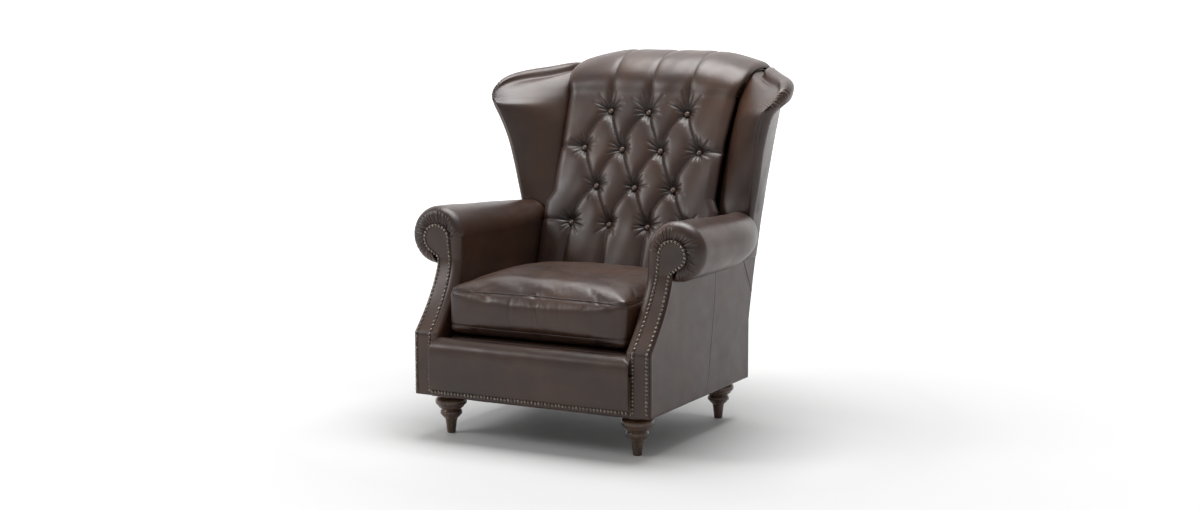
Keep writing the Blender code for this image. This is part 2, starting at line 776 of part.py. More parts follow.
def fine_route(route):
    """The route with points added at the heights where the facing bends."""
    fine = []
    for (x0, z0), (x1, z1) in zip(route, route[1:]):
        fine.append((x0, z0))
        low, high = min(z0, z1), max(z0, z1)
        inside = [z for z in SWEEP_BENDS if low + 0.001 < z < high - 0.001]
        for z in inside if z1 > z0 else reversed(inside):
            fine.append((x0 + (x1 - x0) * (z - z0) / (z1 - z0), z))
    fine.append(route[-1])
    return fine


# ---- Back --------------------------------------------------------------------------
def pad_front(z):
    return rear_line(z) - BACK_THICKNESS


def back_half_width(z):
    """Half the tufted panel's width at height z: between the arms, then between the wings."""
    return blend(
        [
            (WING_BOTTOM, BACK_HALF_LOW),
            (WING_BOTTOM + 0.018, BACK_HALF_HIGH),
            (BACK_TOP - 0.254, BACK_HALF_HIGH),
            (BACK_TOP - 0.124, BACK_HALF_HIGH + 0.009),
            (BACK_TOP - 0.054, BACK_HALF_HIGH + 0.029),
        ],
        z,
    )


def back_side_outline():
    """(y, z) outline of the tufted pad: raked face, roll over the top rail, slot open below."""
    roll_z = BACK_TOP - TOP_ROLL_RISE
    heights = levels(CUSHION_BOTTOM, roll_z - 0.04, RAKE_BENDS)
    outline = [(pad_front(z), z) for z in heights]
    middle = pad_front(roll_z - 0.04) + TOP_ROLL_REACH
    for angle in steps(0, 90, 8):
        turn = math.radians(angle)
        y = middle - TOP_ROLL_REACH * math.cos(turn)
        outline.append((y, roll_z + TOP_ROLL_RISE * math.sin(turn)))
    rear = middle + TOP_ROLL_FLAT
    for angle in steps(90, -90, 8)[1:]:
        turn = math.radians(angle)
        y = rear + TOP_ROLL_REAR * math.cos(turn)
        outline.append((y, BACK_TOP - TOP_ROLL_REAR * (1 - math.sin(turn))))
    low, high = top_rail_y()
    outline.append((rear_line(WING_LEDGE) + 0.012, WING_LEDGE + 0.004))
    outline.append((high, WING_LEDGE + 0.002))
    outline.append((high, TOP_RAIL_TOP))
    outline.append((low, TOP_RAIL_TOP))
    outline.append((low, roll_z))
    outline += [(pad_front(z) + BACK_PAD, z) for z in reversed(heights)]
    return outline


def back_front_outline():
    """(x, z) outline of the tufted pad, with its arched top."""
    heights = [CUSHION_BOTTOM, WING_BOTTOM, WING_BOTTOM + 0.018]
    heights += [BACK_TOP - 0.254, BACK_TOP - 0.124, BACK_TOP - 0.054]
    right = [(back_half_width(z), z) for z in heights]
    edge = back_half_width(BACK_TOP)
    right += [(edge, BACK_TOP - 0.034), ((edge + BACK_CROWN_HALF) / 2, BACK_TOP - 0.014)]
    right += [(BACK_CROWN_HALF, BACK_TOP + 0.001)]
    return right + [(-x, z) for x, z in reversed(right)]


def button_places():
    """(x, z) of each button: rows of three and four, offset like bricks."""
    places = []
    for row, count in enumerate(ROW_BUTTONS):
        z = ROW_TOP - row * ROW_PITCH
        for i in range(count):
            places.append(((i - (count - 1) / 2) * BUTTON_PITCH, z))
    return places


def button_frame(x, z):
    """The place of a button's back and the turn that points its axis out of the pad."""
    slope = rake_slope(z)
    outward = Vector((0.0, -1.0, slope)).normalized()
    back = Vector((x, pad_front(z), z)) - outward * BUTTON_SINK
    turn = Vector((0.0, 0.0, 1.0)).rotation_difference(outward)
    return back, turn


def make_buttons():
    profile = [
        (0.0, BUTTON_HEIGHT),
        (BUTTON_RADIUS * 0.55, BUTTON_HEIGHT * 0.88),
        (BUTTON_RADIUS * 0.92, BUTTON_HEIGHT * 0.5),
        (BUTTON_RADIUS, BUTTON_HEIGHT * 0.25),
        (BUTTON_RADIUS * 0.85, 0.0),
        (0.0, 0.0),
    ]
    for number, (x, z) in enumerate(button_places(), 1):
        place, turn = button_frame(x, z)
        button = turned(f"button_{number:02d}", profile, place, BUTTON_SIDES)
        button.rotation_euler = turn.to_euler()
        keep(button, LEATHER)


def pocket_cutter():
    """One cutter for all the tufting pockets."""
    shape = bmesh.new()
    depth = 0.06
    for x, z in button_places():
        place, turn = button_frame(x, z)
        matrix = Matrix.Translation(place) @ turn.to_matrix().to_4x4()
        matrix = matrix @ Matrix.Translation((0.0, 0.0, depth / 2 - CLEARANCE))
        bmesh.ops.create_cone(
            shape,
            cap_ends=True,
            segments=BUTTON_SIDES,
            radius1=BUTTON_POCKET,
            radius2=BUTTON_POCKET * 1.9,
            depth=depth,
            matrix=matrix,
        )
    return mesh_object("button_pockets", shape)


def make_inside_back():
    half = BACK_HALF_HIGH + 0.05
    pad = prism("inside_back", back_side_outline(), "YZ", -half, half)
    face = prism("back_outline", back_front_outline(), "XZ", -0.1, 0.7)
    shape_with(pad, face, "INTERSECT")
    keep(shape_with(pad, pocket_cutter(), "DIFFERENCE"), LEATHER)


def make_outside_back():
    top = WING_LEDGE - 0.002
    heights = levels(FRAME_BOTTOM, top, RAKE_BENDS)
    outline = [(rear_line(z) - PANEL_THICKNESS, z) for z in heights]
    outline += [(rear_line(z), z) for z in reversed(heights)]
    half = OUTSIDE
    keep(prism("outside_back", outline, "YZ", -half, half), LEATHER)


# ---- Wings -------------------------------------------------------------------------
def wing_front(z):
    """(x, y) of a wing's front edge at height z: it splays out and comes forward as it rises."""
    share = (z - WING_BOTTOM) / (WING_LEDGE - WING_BOTTOM)
    top_x = WING_TOP_HALF - WING_EDGE
    low_x = OUTSIDE + WING_EDGE
    x = blend([(0.0, low_x), (0.47, low_x + 0.022), (0.90, top_x - 0.014), (1.0, top_x)], share)
    y = blend([(0.0, -0.022), (0.47, -0.032), (0.72, -0.057), (0.90, -0.067), (1.0, -0.060)], share)
    return x, y + BASE_REAR


def wing_pad_ring(z, height=None):
    """The padded inner face and rolled front edge of a wing."""
    front_x, front_y = wing_front(z)
    join_x = back_half_width(z) + 2 * CLEARANCE
    join_y = rear_line(z) - WING_JOIN
    level = z if height is None else height
    ring = [
        (join_x, join_y),
        (front_x - 0.034, front_y + 0.006),
        (front_x - 0.010, front_y),
        (front_x, front_y + 0.009),
        (front_x, front_y + 0.020),
        (front_x - 0.022, front_y + 0.032),
        ((join_x + front_x - 0.022) / 2, (join_y + front_y + 0.032 + WING_PAD) / 2),
        (join_x, join_y + WING_PAD),
    ]
    return [(x, y, level) for x, y in ring]


def wing_cap_ring(height, spread, tilt):
    """The solid top of a wing, over the wing rail and the post."""
    front_x, front_y = wing_front(WING_LEDGE)
    join_x = back_half_width(height) + 2 * CLEARANCE
    join_y = rear_line(WING_LEDGE) - WING_JOIN
    rear = rear_line(WING_LEDGE)
    ring = [
        (join_x, join_y),
        (front_x - 0.030, front_y + 0.004),
        (front_x, front_y),
        (front_x + spread, front_y + 0.022),
        (front_x + spread, front_y + 0.055),
        (OUTSIDE + 0.012 + spread, rear - 0.055),
        (OUTSIDE - 0.015, rear + 0.002 + spread),
        (join_x, rear + 0.030 + spread),
    ]
    return [(x, y, height - tilt * (x - join_x)) for x, y in ring]


def make_inside_wings():
    """Each wing's pad: a thick inner face below, closing over the frame at the top."""
    rings = [wing_pad_ring(z) for z in steps(WING_BOTTOM, WING_LEDGE, 6)]
    rings.append(wing_cap_ring(WING_LEDGE + 0.002, 0.004, 0.0))
    rings.append(wing_cap_ring(BACK_TOP - 0.054, 0.018, 0.2))
    rings.append(wing_cap_ring(BACK_TOP - 0.042, 0.008, 0.27))
    for name, side in SIDES:
        keep(loft(f"inside_wing_{name}", [mirrored(ring, side) for ring in rings]), LEATHER)


def make_outside_wings():
    """The panels outside the wings, down to the diagonal seam above the outside arm."""
    seam_low = ROLL_BOTTOM - 0.0025 + CLEARANCE
    top = WING_LEDGE - 0.002
    rings = []
    for z in levels(seam_low, top, sorted(RAKE_BENDS + [WING_BOTTOM - 0.012, WING_BOTTOM])):
        rear = rear_line(z) - PANEL_THICKNESS - CLEARANCE
        if z < WING_BOTTOM:
            front_x, front_y = OUTSIDE, ROLL_REAR + 0.004
        else:
            front_x, front_y = wing_front(z)
            front_y += 0.020 + 0.003
        ring = [
            (front_x, front_y),
            (OUTSIDE, rear),
            (OUTSIDE - WING_PANEL, rear),
            (front_x - WING_PANEL - 0.002, front_y + 0.012),
        ]
        rings.append([(x, y, z) for x, y in ring])
    for name, side in SIDES:
        keep(loft(f"outside_wing_{name}", [mirrored(ring, side) for ring in rings]), LEATHER)


# ---- Seat cushion ------------------------------------------------------------------
def cushion_block(name, inset, bevel):
    """The cushion's form, drawn in by inset all round; its rear face follows the back's rake."""
    half = SEAT_HALF - CUSHION_EASE - inset
    front = BASE_FRONT + CUSHION_FRONT + inset
    low = CUSHION_BOTTOM + inset
    high = CUSHION_BOTTOM + CUSHION_THICKNESS - inset
    rear_low = pad_front(CUSHION_BOTTOM) - CUSHION_BACK_EASE - inset
    rear_high = rear_low + CUSHION_RAKE
    outline = [(front, low), (rear_low, low), (rear_high, high), (front, high)]
    obj = prism(name, outline, "YZ", -half, half)
    edge = obj.modifiers.new("rounding", "BEVEL")
    edge.width = bevel
    edge.segments = 3
    edge.limit_method = "ANGLE"
    edge.angle_limit = math.radians(40)
    return obj


def make_cushion():
    """A foam block in a leather case, which opens along a zip in its rear face."""
    rounding = CUSHION_ROUNDING
    case = cushion_block("seat_cushion_cover", 0.0, rounding)
    hollow = cushion_block("cushion_hollow", CUSHION_WALL, rounding - CUSHION_WALL)
    shape_with(case, hollow, "DIFFERENCE")
    middle = CUSHION_BOTTOM + CUSHION_THICKNESS / 2
    rear = pad_front(CUSHION_BOTTOM)
    zip_slot = block(
        "zip_opening",
        (-ZIP_HALF, rear - CUSHION_ROUNDING, middle - ZIP_WIDTH / 2),
        (ZIP_HALF, rear + 2 * CUSHION_ROUNDING, middle + ZIP_WIDTH / 2),
    )
    keep(shape_with(case, zip_slot, "DIFFERENCE"), LEATHER)
    inset = CUSHION_WALL + FOAM_EASE
    keep(cushion_block("seat_cushion_foam", inset, rounding - inset), FOAM)


make_legs()
make_base_rails()
make_arm_posts()
make_arm_rails()
make_back_posts()
make_back_rails()
make_corner_blocks()
make_wing_rails()
make_springs()
make_deck()
make_dust_cover()
make_front_border()
make_inside_arms()
make_outside_arms()
make_facings()
make_nail_trims()
make_inside_back()
make_outside_back()
make_buttons()
make_inside_wings()
make_outside_wings()
make_cushion()

for piece in chair.objects:
    if piece.type == "MESH":
        piece.data.shade_smooth()
        piece.data.set_sharp_from_angle(angle=math.radians(35))
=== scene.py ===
# %% [markdown]
# # A buttoned leather wing armchair
#
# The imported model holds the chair's frame, springs, pads and covers, and this script dresses them.
# The wood and steel inside keep their own shapes and only get finishes. Everything soft is made
# again as upholstery in the room that its plain solid holds: a deep-buttoned back, rolled arms with
# gathered fronts, splayed wings, and a loose cushion blown up by a cloth simulation.

import json
import math

import bmesh
import bpy
import numpy as np
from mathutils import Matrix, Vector
from mathutils.bvhtree import BVHTree


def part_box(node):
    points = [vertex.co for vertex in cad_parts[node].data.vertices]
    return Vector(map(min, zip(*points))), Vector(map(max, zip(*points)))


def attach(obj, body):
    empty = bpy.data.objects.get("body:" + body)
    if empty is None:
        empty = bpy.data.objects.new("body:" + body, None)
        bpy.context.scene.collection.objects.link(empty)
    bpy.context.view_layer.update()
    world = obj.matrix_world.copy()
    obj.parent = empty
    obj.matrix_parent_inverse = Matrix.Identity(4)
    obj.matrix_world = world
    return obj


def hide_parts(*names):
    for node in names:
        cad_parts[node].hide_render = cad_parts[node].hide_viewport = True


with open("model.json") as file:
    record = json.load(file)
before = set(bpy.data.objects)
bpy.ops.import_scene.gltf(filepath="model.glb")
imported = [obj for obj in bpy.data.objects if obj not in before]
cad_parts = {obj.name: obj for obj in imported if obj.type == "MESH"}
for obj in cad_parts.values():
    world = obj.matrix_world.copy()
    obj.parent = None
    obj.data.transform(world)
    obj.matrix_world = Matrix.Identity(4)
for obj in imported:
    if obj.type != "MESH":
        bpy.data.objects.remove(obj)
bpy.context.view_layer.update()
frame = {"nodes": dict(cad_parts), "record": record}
NODES = frame["nodes"]

# %% [markdown]
# ## Camera and floor
#
# The camera stands to the sitter's left and looks slightly down. The floor runs back and curves up
# into a wall, as a studio sweep does, so that no horizon shows behind the chair.

# %% Camera
CAMERA_TURN = 27.75  # degrees round the chair from straight ahead
CAMERA_TILT = 81.85

camera_data = bpy.data.cameras.new("camera")
camera_data.sensor_width = 36.0
camera_data.lens = 62.1
camera = bpy.data.objects.new("camera", camera_data)
camera.location = (2.751, -5.291, 1.330)
camera.rotation_euler = (math.radians(CAMERA_TILT), 0.0, math.radians(CAMERA_TURN))
bpy.context.scene.collection.objects.link(camera)
bpy.context.scene.camera = camera


# %% [markdown]
# ## Making leather in mesh code
#
# Upholstery leather is a sheet pulled over a padded form, so each cover here is a grid of points:
# rows along the form and columns across it. A grid makes folds easy, because a fold is only a
# distance from some line on the sheet. `close_skin` gives the sheet a thickness. Its hidden side
# is four times coarser, which keeps the meshes light where nobody looks.

# %% Mesh helpers
RANDOM = np.random.default_rng(11)
COARSE = 4  # rows and columns of a sheet for each one on its hidden side


def add_object(name, mesh):
    obj = bpy.data.objects.new(name, mesh)
    bpy.context.scene.collection.objects.link(obj)
    return obj


def add_mesh(name, points, faces):
    """A smoothly shaded piece made from points and faces."""
    mesh = bpy.data.meshes.new(name)
    mesh.from_pydata(np.asarray(points, float).tolist(), [], faces)
    mesh.shade_smooth()
    return add_object(name, mesh)


def steps(low, high, spacing):
    """Evenly spaced values whose count suits the hidden side of a sheet."""
    count = max(1, round((high - low) / spacing / COARSE)) * COARSE
    return np.linspace(low, high, count + 1)


def sheet_normals(points):
    """Unit normals of a grid of points, on the side that rows turned onto columns give."""
    normal = np.cross(np.gradient(points, axis=0), np.gradient(points, axis=1))
    return normal / np.maximum(np.linalg.norm(normal, axis=2, keepdims=True), 1e-9)


def set_attribute(obj, name, values):
    layer = obj.data.attributes.new(name, "FLOAT", "POINT")
    layer.data.foreach_set("value", np.ascontiguousarray(values, np.float32).ravel())


def close_skin(name, points, thickness, crease_shade=None):
    """A leather sheet: the grid as it shows, and a coarser copy of it behind, sewn together."""
    rows, columns = points.shape[:2]
    inner = (points - sheet_normals(points) * thickness)[::COARSE, ::COARSE]
    r, c = inner.shape[:2]
    number = np.arange(rows * columns).reshape(rows, columns)
    hidden = np.arange(r * c).reshape(r, c) + rows * columns

    def quads(n):
        return np.stack([n[:-1, :-1], n[1:, :-1], n[1:, 1:], n[:-1, 1:]], 2).reshape(-1, 4)

    faces = quads(number).tolist() + quads(hidden)[:, ::-1].tolist()
    for fine, coarse in (
        (number[0], hidden[0]),
        (number[:, -1], hidden[:, -1]),
        (number[-1, ::-1], hidden[-1, ::-1]),
        (number[::-1, 0], hidden[::-1, 0]),
    ):
        for k in range(len(coarse) - 1):
            edge = fine[k * COARSE : (k + 1) * COARSE + 1].tolist()
            faces.append(edge + [int(coarse[k + 1]), int(coarse[k])])
    all_points = np.concatenate([points.reshape(-1, 3), inner.reshape(-1, 3)])
    obj = add_mesh(name, all_points, faces)
    # fold values for the painted shade in the leather material, on the shown side only
    values = np.zeros(len(all_points))
    if crease_shade is not None:
        values[: rows * columns] = crease_shade.ravel()
    set_attribute(obj, "crease_shade", values)
    return obj


def turn_out(points, crease_shade, side):
    """A sheet drawn for the left side, with its columns in the order that faces it outward."""
    if side > 0:
        return points[:, ::-1], crease_shade[:, ::-1]
    return points * np.array([-1.0, 1.0, 1.0]), crease_shade


def spline(stations, at):
    """A smooth line through stations (first axis), read at places counted in stations."""
    stations = np.asarray(stations, float)
    at = np.clip(at, 0, len(stations) - 1 - 1e-9)
    i = at.astype(int)
    f = (at - i).reshape(-1, *[1] * (stations.ndim - 1))
    first = 2 * stations[:1] - stations[1:2]
    last = 2 * stations[-1:] - stations[-2:-1]
    p = np.concatenate([first, stations, last])
    a, b, c, d = p[i], p[i + 1], p[i + 2], p[i + 3]
    return b + 0.5 * f * ((c - a) + f * (2 * a - 5 * b + 4 * c - d + f * (3 * (b - c) + d - a)))


def lengths(line):
    """The length run along a line of points, at each of them."""
    return np.concatenate([[0], np.cumsum(np.linalg.norm(np.diff(line, axis=0), axis=1))])


def evenly(line, spacing):
    """Points at even spacing along a line of points, and the length at each."""
    line = np.asarray(line, float)
    length = lengths(line)
    at = steps(0, length[-1], spacing)
    return np.stack([np.interp(at, length, line[:, k]) for k in range(line.shape[1])], 1), at


def ease(low, high, value):
    """0 below low, 1 above high, and smooth between."""
    part = np.clip((value - low) / (high - low), 0, 1)
    return part * part * (3 - 2 * part)


def bell(away, width, power=2):
    """1 where away is 0, falling smoothly to nothing a few widths off."""
    return np.exp(-((away / width) ** power))


def quarter_round(away, radius):
    """The drop of a rounded edge: 1 at the edge itself, 0 from radius away."""
    inside = np.clip(1 - away / radius, 0, 1)
    return 1 - np.sqrt(1 - inside**2)


def ripple(a, b, scale, count=5):
    """Soft unevenness over two coordinates, about -1 to 1, from a few crossing waves."""
    total = np.zeros(np.broadcast(a, b).shape)
    for _ in range(count):
        way = RANDOM.uniform(0, 2 * math.pi)
        pace = 2 * math.pi / (scale * RANDOM.uniform(0.7, 1.5))
        total += np.sin((a * math.cos(way) + b * math.sin(way)) * pace + RANDOM.uniform(0, 6.28))
    return total / count


# %% [markdown]
# ## The chair's own lines
#
# Three lines shape every cover: the raked line of the outside back, the sweep of the arm fronts,
# and the sides of the buttoned panel. Their ends are read from the frame's boxes, so the covers
# follow the model.

# %% Lines and sizes
SIDES = (("left", 1), ("right", -1))
SKIN = 0.0025  # thickness of the flat outside panels

ARM_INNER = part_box("inside_arm_left")[0].x
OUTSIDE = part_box("outside_arm_left")[1].x
BASE_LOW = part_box("outside_arm_left")[0].z
BASE_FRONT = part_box("arm_facing_left")[0].y
BASE_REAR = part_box("outside_back")[0].y + 0.006
BORDER_LOW, BORDER_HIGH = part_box("front_border")
CUSHION_LOW, CUSHION_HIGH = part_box("seat_cushion_cover")
BACK_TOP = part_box("inside_back")[1].z
BACK_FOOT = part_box("inside_back")[0].z
BACK_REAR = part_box("inside_back")[1].y
BACK_THICKNESS = 0.145
SWEEP = (0.294, 0.490, 0.126)  # start and end heights, and depth


def rear_line(z):
    """y of the outside back: upright at the base, then raked and curving away."""
    rise = np.maximum(0.0, np.asarray(z, float) - 0.290)
    return BASE_REAR + 0.2234 * rise + 0.2199 * rise**2


def front_line(z):
    """y of the arm fronts: upright, then sweeping back to the roll."""
    low, high, depth = SWEEP
    part = np.clip((np.asarray(z, float) - low) / (high - low), 0, 1)
    return BASE_FRONT + depth * (1 - (1 - part) ** 1.5)


def panel_half(z):
    """Half the buttoned panel's width: between the arms, then between the wings, then flaring."""
    heights = [0.606, 0.640, 0.800, 0.930, 1.000, 1.030]
    return np.interp(z, heights, [0.287, 0.268, 0.268, 0.277, 0.294, 0.298])


print("seat", round(2 * ARM_INNER, 3), "m wide between arms,", round(2 * OUTSIDE, 3), "m over the panels")


# %% [markdown]
# ## Finishes first
#
# The leather is the chair. It is aniline-dyed hide: dark brown, warmer where the dye is thin, and
# greyer where light rakes over it. Its grain is fine cells of about a millimetre. The fold values
# that each cover stores say how deep in a fold a point is, and painted shade darkens the colour there.

# %% Shared finish groups
def new_group(name, inputs, outputs):
    group = bpy.data.node_groups.new(name, "ShaderNodeTree")
    for label, kind, value in inputs:
        socket = group.interface.new_socket(label, in_out="INPUT", socket_type=kind)
        socket.default_value = value
    for label, kind in outputs:
        group.interface.new_socket(label, in_out="OUTPUT", socket_type=kind)
    start = group.nodes.new("NodeGroupInput")
    end = group.nodes.new("NodeGroupOutput")
    return group, start, end


def add(tree, kind, links=(), **values):
    """A shader node, with its properties set and its inputs linked or given values."""
    node = tree.nodes.new(kind)
    for key, value in values.items():
        setattr(node, key, value)
    for socket, source in links:
        if isinstance(source, bpy.types.NodeSocket):
            tree.links.new(source, node.inputs[socket])
        else:
            node.inputs[socket].default_value = source
    return node


def clear_range(tree, noise):
    """Spreads the middle of a noise over the whole way from 0 to 1."""
    return add(tree, "ShaderNodeMapRange", [("Value", noise), ("From Min", 0.35), ("From Max", 0.68)])


def make_mottle():
    """Slow and fast unevenness of a dye, as one mask from 0 to 1."""
    group, start, end = new_group(
        "dye_mottle",
        [("Scale", "NodeSocketFloat", 9.0), ("Contrast", "NodeSocketFloat", 1.0)],
        [("Mask", "NodeSocketFloat")],
    )
    place = add(group, "ShaderNodeTexCoord")
    spots = [("Vector", place.outputs["Object"]), ("Scale", start.outputs["Scale"])]
    broad = add(group, "ShaderNodeTexNoise", spots + [("Detail", 4.0), ("Roughness", 0.55)])
    spread = clear_range(group, broad.outputs["Fac"])
    power = add(
        group,
        "ShaderNodeMath",
        [(0, spread.outputs["Result"]), (1, start.outputs["Contrast"])],
        operation="POWER",
    )
    group.links.new(power.outputs["Value"], end.inputs["Mask"])
    return group


def make_grain():
    """Leather grain: rounded cells with fine wrinkles between them, as a height."""
    group, start, end = new_group(
        "hide_grain",
        [("Cells", "NodeSocketFloat", 420.0), ("Wrinkles", "NodeSocketFloat", 0.35)],
        [("Height", "NodeSocketFloat")],
    )
    place = add(group, "ShaderNodeTexCoord")
    spots = [("Vector", place.outputs["Object"]), ("Scale", 60.0)]
    warp = add(group, "ShaderNodeTexNoise", spots + [("Detail", 2.0)])
    bent = add(
        group,
        "ShaderNodeMix",
        [(0, 0.012), (4, place.outputs["Object"]), (5, warp.outputs["Color"])],
        data_type="VECTOR",
    )
    cells = add(
        group,
        "ShaderNodeTexVoronoi",
        [("Vector", bent.outputs[1]), ("Scale", start.outputs["Cells"])],
        feature="SMOOTH_F1",
    )
    dome = add(group, "ShaderNodeMath", [(0, 1.0), (1, cells.outputs["Distance"])], operation="SUBTRACT")
    fine = add(group, "ShaderNodeTexNoise", [("Vector", bent.outputs[1]), ("Scale", 140.0), ("Detail", 3.0)])
    both = add(
        group,
        "ShaderNodeMath",
        [(0, fine.outputs["Fac"]), (1, start.outputs["Wrinkles"]), (2, dome.outputs["Value"])],
        operation="MULTIPLY_ADD",
    )
    group.links.new(both.outputs["Value"], end.inputs["Height"])
    return group


def make_wood_grain():
    """Long streaks of wood, as a mask of dark and light and as a height."""
    group, start, end = new_group(
        "wood_grain",
        [("Scale", "NodeSocketFloat", 60.0)],
        [("Lines", "NodeSocketFloat"), ("Height", "NodeSocketFloat")],
    )
    place = add(group, "ShaderNodeTexCoord")
    stretch = add(
        group,
        "ShaderNodeMapping",
        [("Vector", place.outputs["Object"]), ("Scale", (1.0, 1.0, 0.09))],
    )
    spots = [("Vector", stretch.outputs["Vector"]), ("Scale", start.outputs["Scale"])]
    shape = [("Detail", 6.0), ("Roughness", 0.6), ("Distortion", 0.6)]
    grain = add(group, "ShaderNodeTexNoise", spots + shape)
    lines = clear_range(group, grain.outputs["Fac"])
    group.links.new(lines.outputs["Result"], end.inputs["Lines"])
    group.links.new(grain.outputs["Fac"], end.inputs["Height"])
    return group


def make_weave():
    """Plain weave: two crossed sets of threads, one over and one under."""
    group, start, end = new_group(
        "plain_weave",
        [("Threads", "NodeSocketFloat", 90.0)],
        [("Mask", "NodeSocketFloat")],
    )
    place = add(group, "ShaderNodeTexCoord")
    threads = [("Vector", place.outputs["Object"]), ("Scale", start.outputs["Threads"])]
    warp = add(group, "ShaderNodeTexWave", threads, bands_direction="X")
    weft = add(group, "ShaderNodeTexWave", threads, bands_direction="Y")
    both = [(0, warp.outputs["Fac"]), (1, weft.outputs["Fac"])]
    crossed = add(group, "ShaderNodeMath", both, operation="MULTIPLY")
    group.links.new(crossed.outputs["Value"], end.inputs["Mask"])
    return group


MOTTLE = make_mottle()
GRAIN = make_grain()
WOOD_GRAIN = make_wood_grain()
WEAVE = make_weave()
print("finish groups:", ", ".join(group.name for group in (MOTTLE, GRAIN, WOOD_GRAIN, WEAVE)))


# %% Leather
def new_material(name):
    material = bpy.data.materials.new(name)
    material.use_nodes = True
    return material, material.node_tree, material.node_tree.nodes["Principled BSDF"]


def mix_colors(tree, mask, first, second):
    node = add(tree, "ShaderNodeMix", [(0, mask), (6, first), (7, second)], data_type="RGBA")
    return node.outputs[2]


def mottled(tree, scale):
    """The mottle group's mask at a scale."""
    return add(tree, "ShaderNodeGroup", [("Scale", scale)], node_tree=MOTTLE).outputs["Mask"]


def add_bump(tree, shader, height, distance, strength):
    links = [("Height", height), ("Distance", distance), ("Strength", strength)]
    tree.links.new(add(tree, "ShaderNodeBump", links).outputs["Normal"], shader.inputs["Normal"])


def leather(name, dark, base, warm, rough):
    """Dyed hide: warm where the dye is thin, with a fine cell grain, and darkened in its folds as painted
    shade.
    """
    material, tree, shader = new_material(name)
    color = mix_colors(tree, mottled(tree, 7.0), (*base, 1), (*warm, 1))
    # painted shade: the stored fold values mix the dark colour into the hide in folds, seams and joins
    crease_shade = add(tree, "ShaderNodeAttribute", attribute_name="crease_shade")
    color = mix_colors(tree, crease_shade.outputs["Fac"], color, (*dark, 1))
    tree.links.new(color, shader.inputs["Base Color"])
    gloss = add(
        tree,
        "ShaderNodeMapRange",
        [("Value", mottled(tree, 16.0)), ("To Min", rough), ("To Max", rough + 0.09)],
    )
    dull = add(
        tree,
        "ShaderNodeMath",
        [(0, crease_shade.outputs["Fac"]), (1, 0.16), (2, gloss.outputs["Result"])],
        operation="MULTIPLY_ADD",
    )
    tree.links.new(dull.outputs["Value"], shader.inputs["Roughness"])
    hide = add(tree, "ShaderNodeGroup", node_tree=GRAIN)
    add_bump(tree, shader, hide.outputs["Height"], 0.00022, 0.45)
    shader.inputs["Coat Weight"].default_value = 0.12
    shader.inputs["Coat Roughness"].default_value = 0.28
    return material


# dark is the painted shade colour for the folds; base and warm are the hide's own tones
LEATHER = leather(
    "brown_leather",
    dark=(0.005, 0.0028, 0.0020),
    base=(0.027, 0.0124, 0.0085),
    warm=(0.050, 0.0210, 0.0108),
    rough=0.36,
)
# painted highlight: the buttons get a lighter copy of the hide, which stands in for the glint on their domes
BUTTON_LEATHER_PAINTED_HIGHLIGHT = leather(
    "button_leather",
    dark=(0.014, 0.008, 0.006),
    base=(0.060, 0.036, 0.026),
    warm=(0.085, 0.048, 0.032),
    rough=0.30,
)
print("leathers made")


# %% Putting a cover on the chair
def dress(obj, body, slot, material, *nodes):
    """Gives a new piece its finish and body, and lets it stand for CAD nodes."""
    obj.data.materials.clear()
    obj.data.materials.append(material)
    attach(obj, body)
    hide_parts(*nodes)
    return obj


def upholster(obj, *nodes, body="chair", fill=0.7):
    dress(obj, body, "leather", LEATHER, *nodes)
    print(obj.name, len(obj.data.vertices), "points")
    return obj


# %% [markdown]
# ## The buttoned back
#
# Deep buttoning pulls the leather through the padding at each button and lays the spare hide into
# pleats: diagonals between neighbours, straight pleats from the outer rows to the panel's edges.
# A height field on the panel's own side profile gives all of that. Each pleat is a sharp valley,
# steeper on its upper side, because the leather is lapped downwards. Short gathers fan out of
# every button.

# %% The panel's side profile
TOP_RISE = 0.124
ROLL_Z = BACK_TOP - TOP_RISE  # height where the top starts to roll over
ROLL_REACH = 0.172  # how far back the roll's crest is from the face
ROLL_REAR = 0.045  # radius of the roll's rear edge
PANEL_SPACING = 0.0020  # between the rows of the buttoned panel
BUTTON_SINK = 0.010  # how far up the panel a button's pocket lies from its box's middle


def back_profile():
    """(y, z) from the seat up the face, over the top roll and under its rear edge."""
    heights = np.linspace(BACK_FOOT + 0.004, ROLL_Z, 40)
    face = [(float(rear_line(z)) - BACK_THICKNESS, z) for z in heights]
    middle = face[-1][0] + ROLL_REACH
    turns = np.radians(np.linspace(0, 90, 24))[1:]
    over = [(middle - ROLL_REACH * math.cos(t), ROLL_Z + TOP_RISE * math.sin(t)) for t in turns]
    rear = BACK_REAR - ROLL_REAR
    turns = np.radians(np.linspace(90, -80, 24))
    under = [(rear + ROLL_REAR * math.cos(t), BACK_TOP - ROLL_REAR * (1 - math.sin(t))) for t in turns]
    end = [(float(rear_line(ROLL_Z)) + 0.004, ROLL_Z + 0.006)]
    return face + over + under + end


def soften(line, reach):
    """The line with its kinks rounded off, and its ends kept."""
    wide = np.exp(-((np.arange(-3 * reach, 3 * reach + 1) / reach) ** 2) / 2)
    padded = np.concatenate([
        2 * line[:1] - line[3 * reach : 0 : -1],
        line,
        2 * line[-1:] - line[-2 : -3 * reach - 2 : -1],
    ])
    return np.stack([np.convolve(padded[:, k], wide / wide.sum(), "valid") for k in range(2)], 1)


PROFILE, PROFILE_AT = evenly(back_profile(), PANEL_SPACING)
PROFILE, PROFILE_AT = evenly(soften(PROFILE, 5), PANEL_SPACING)
FACE_END = np.argmax(PROFILE[:, 1] >= ROLL_Z)


def along(z):
    """Length up the panel's face at height z."""
    return float(np.interp(z, PROFILE[:FACE_END, 1], PROFILE_AT[:FACE_END]))


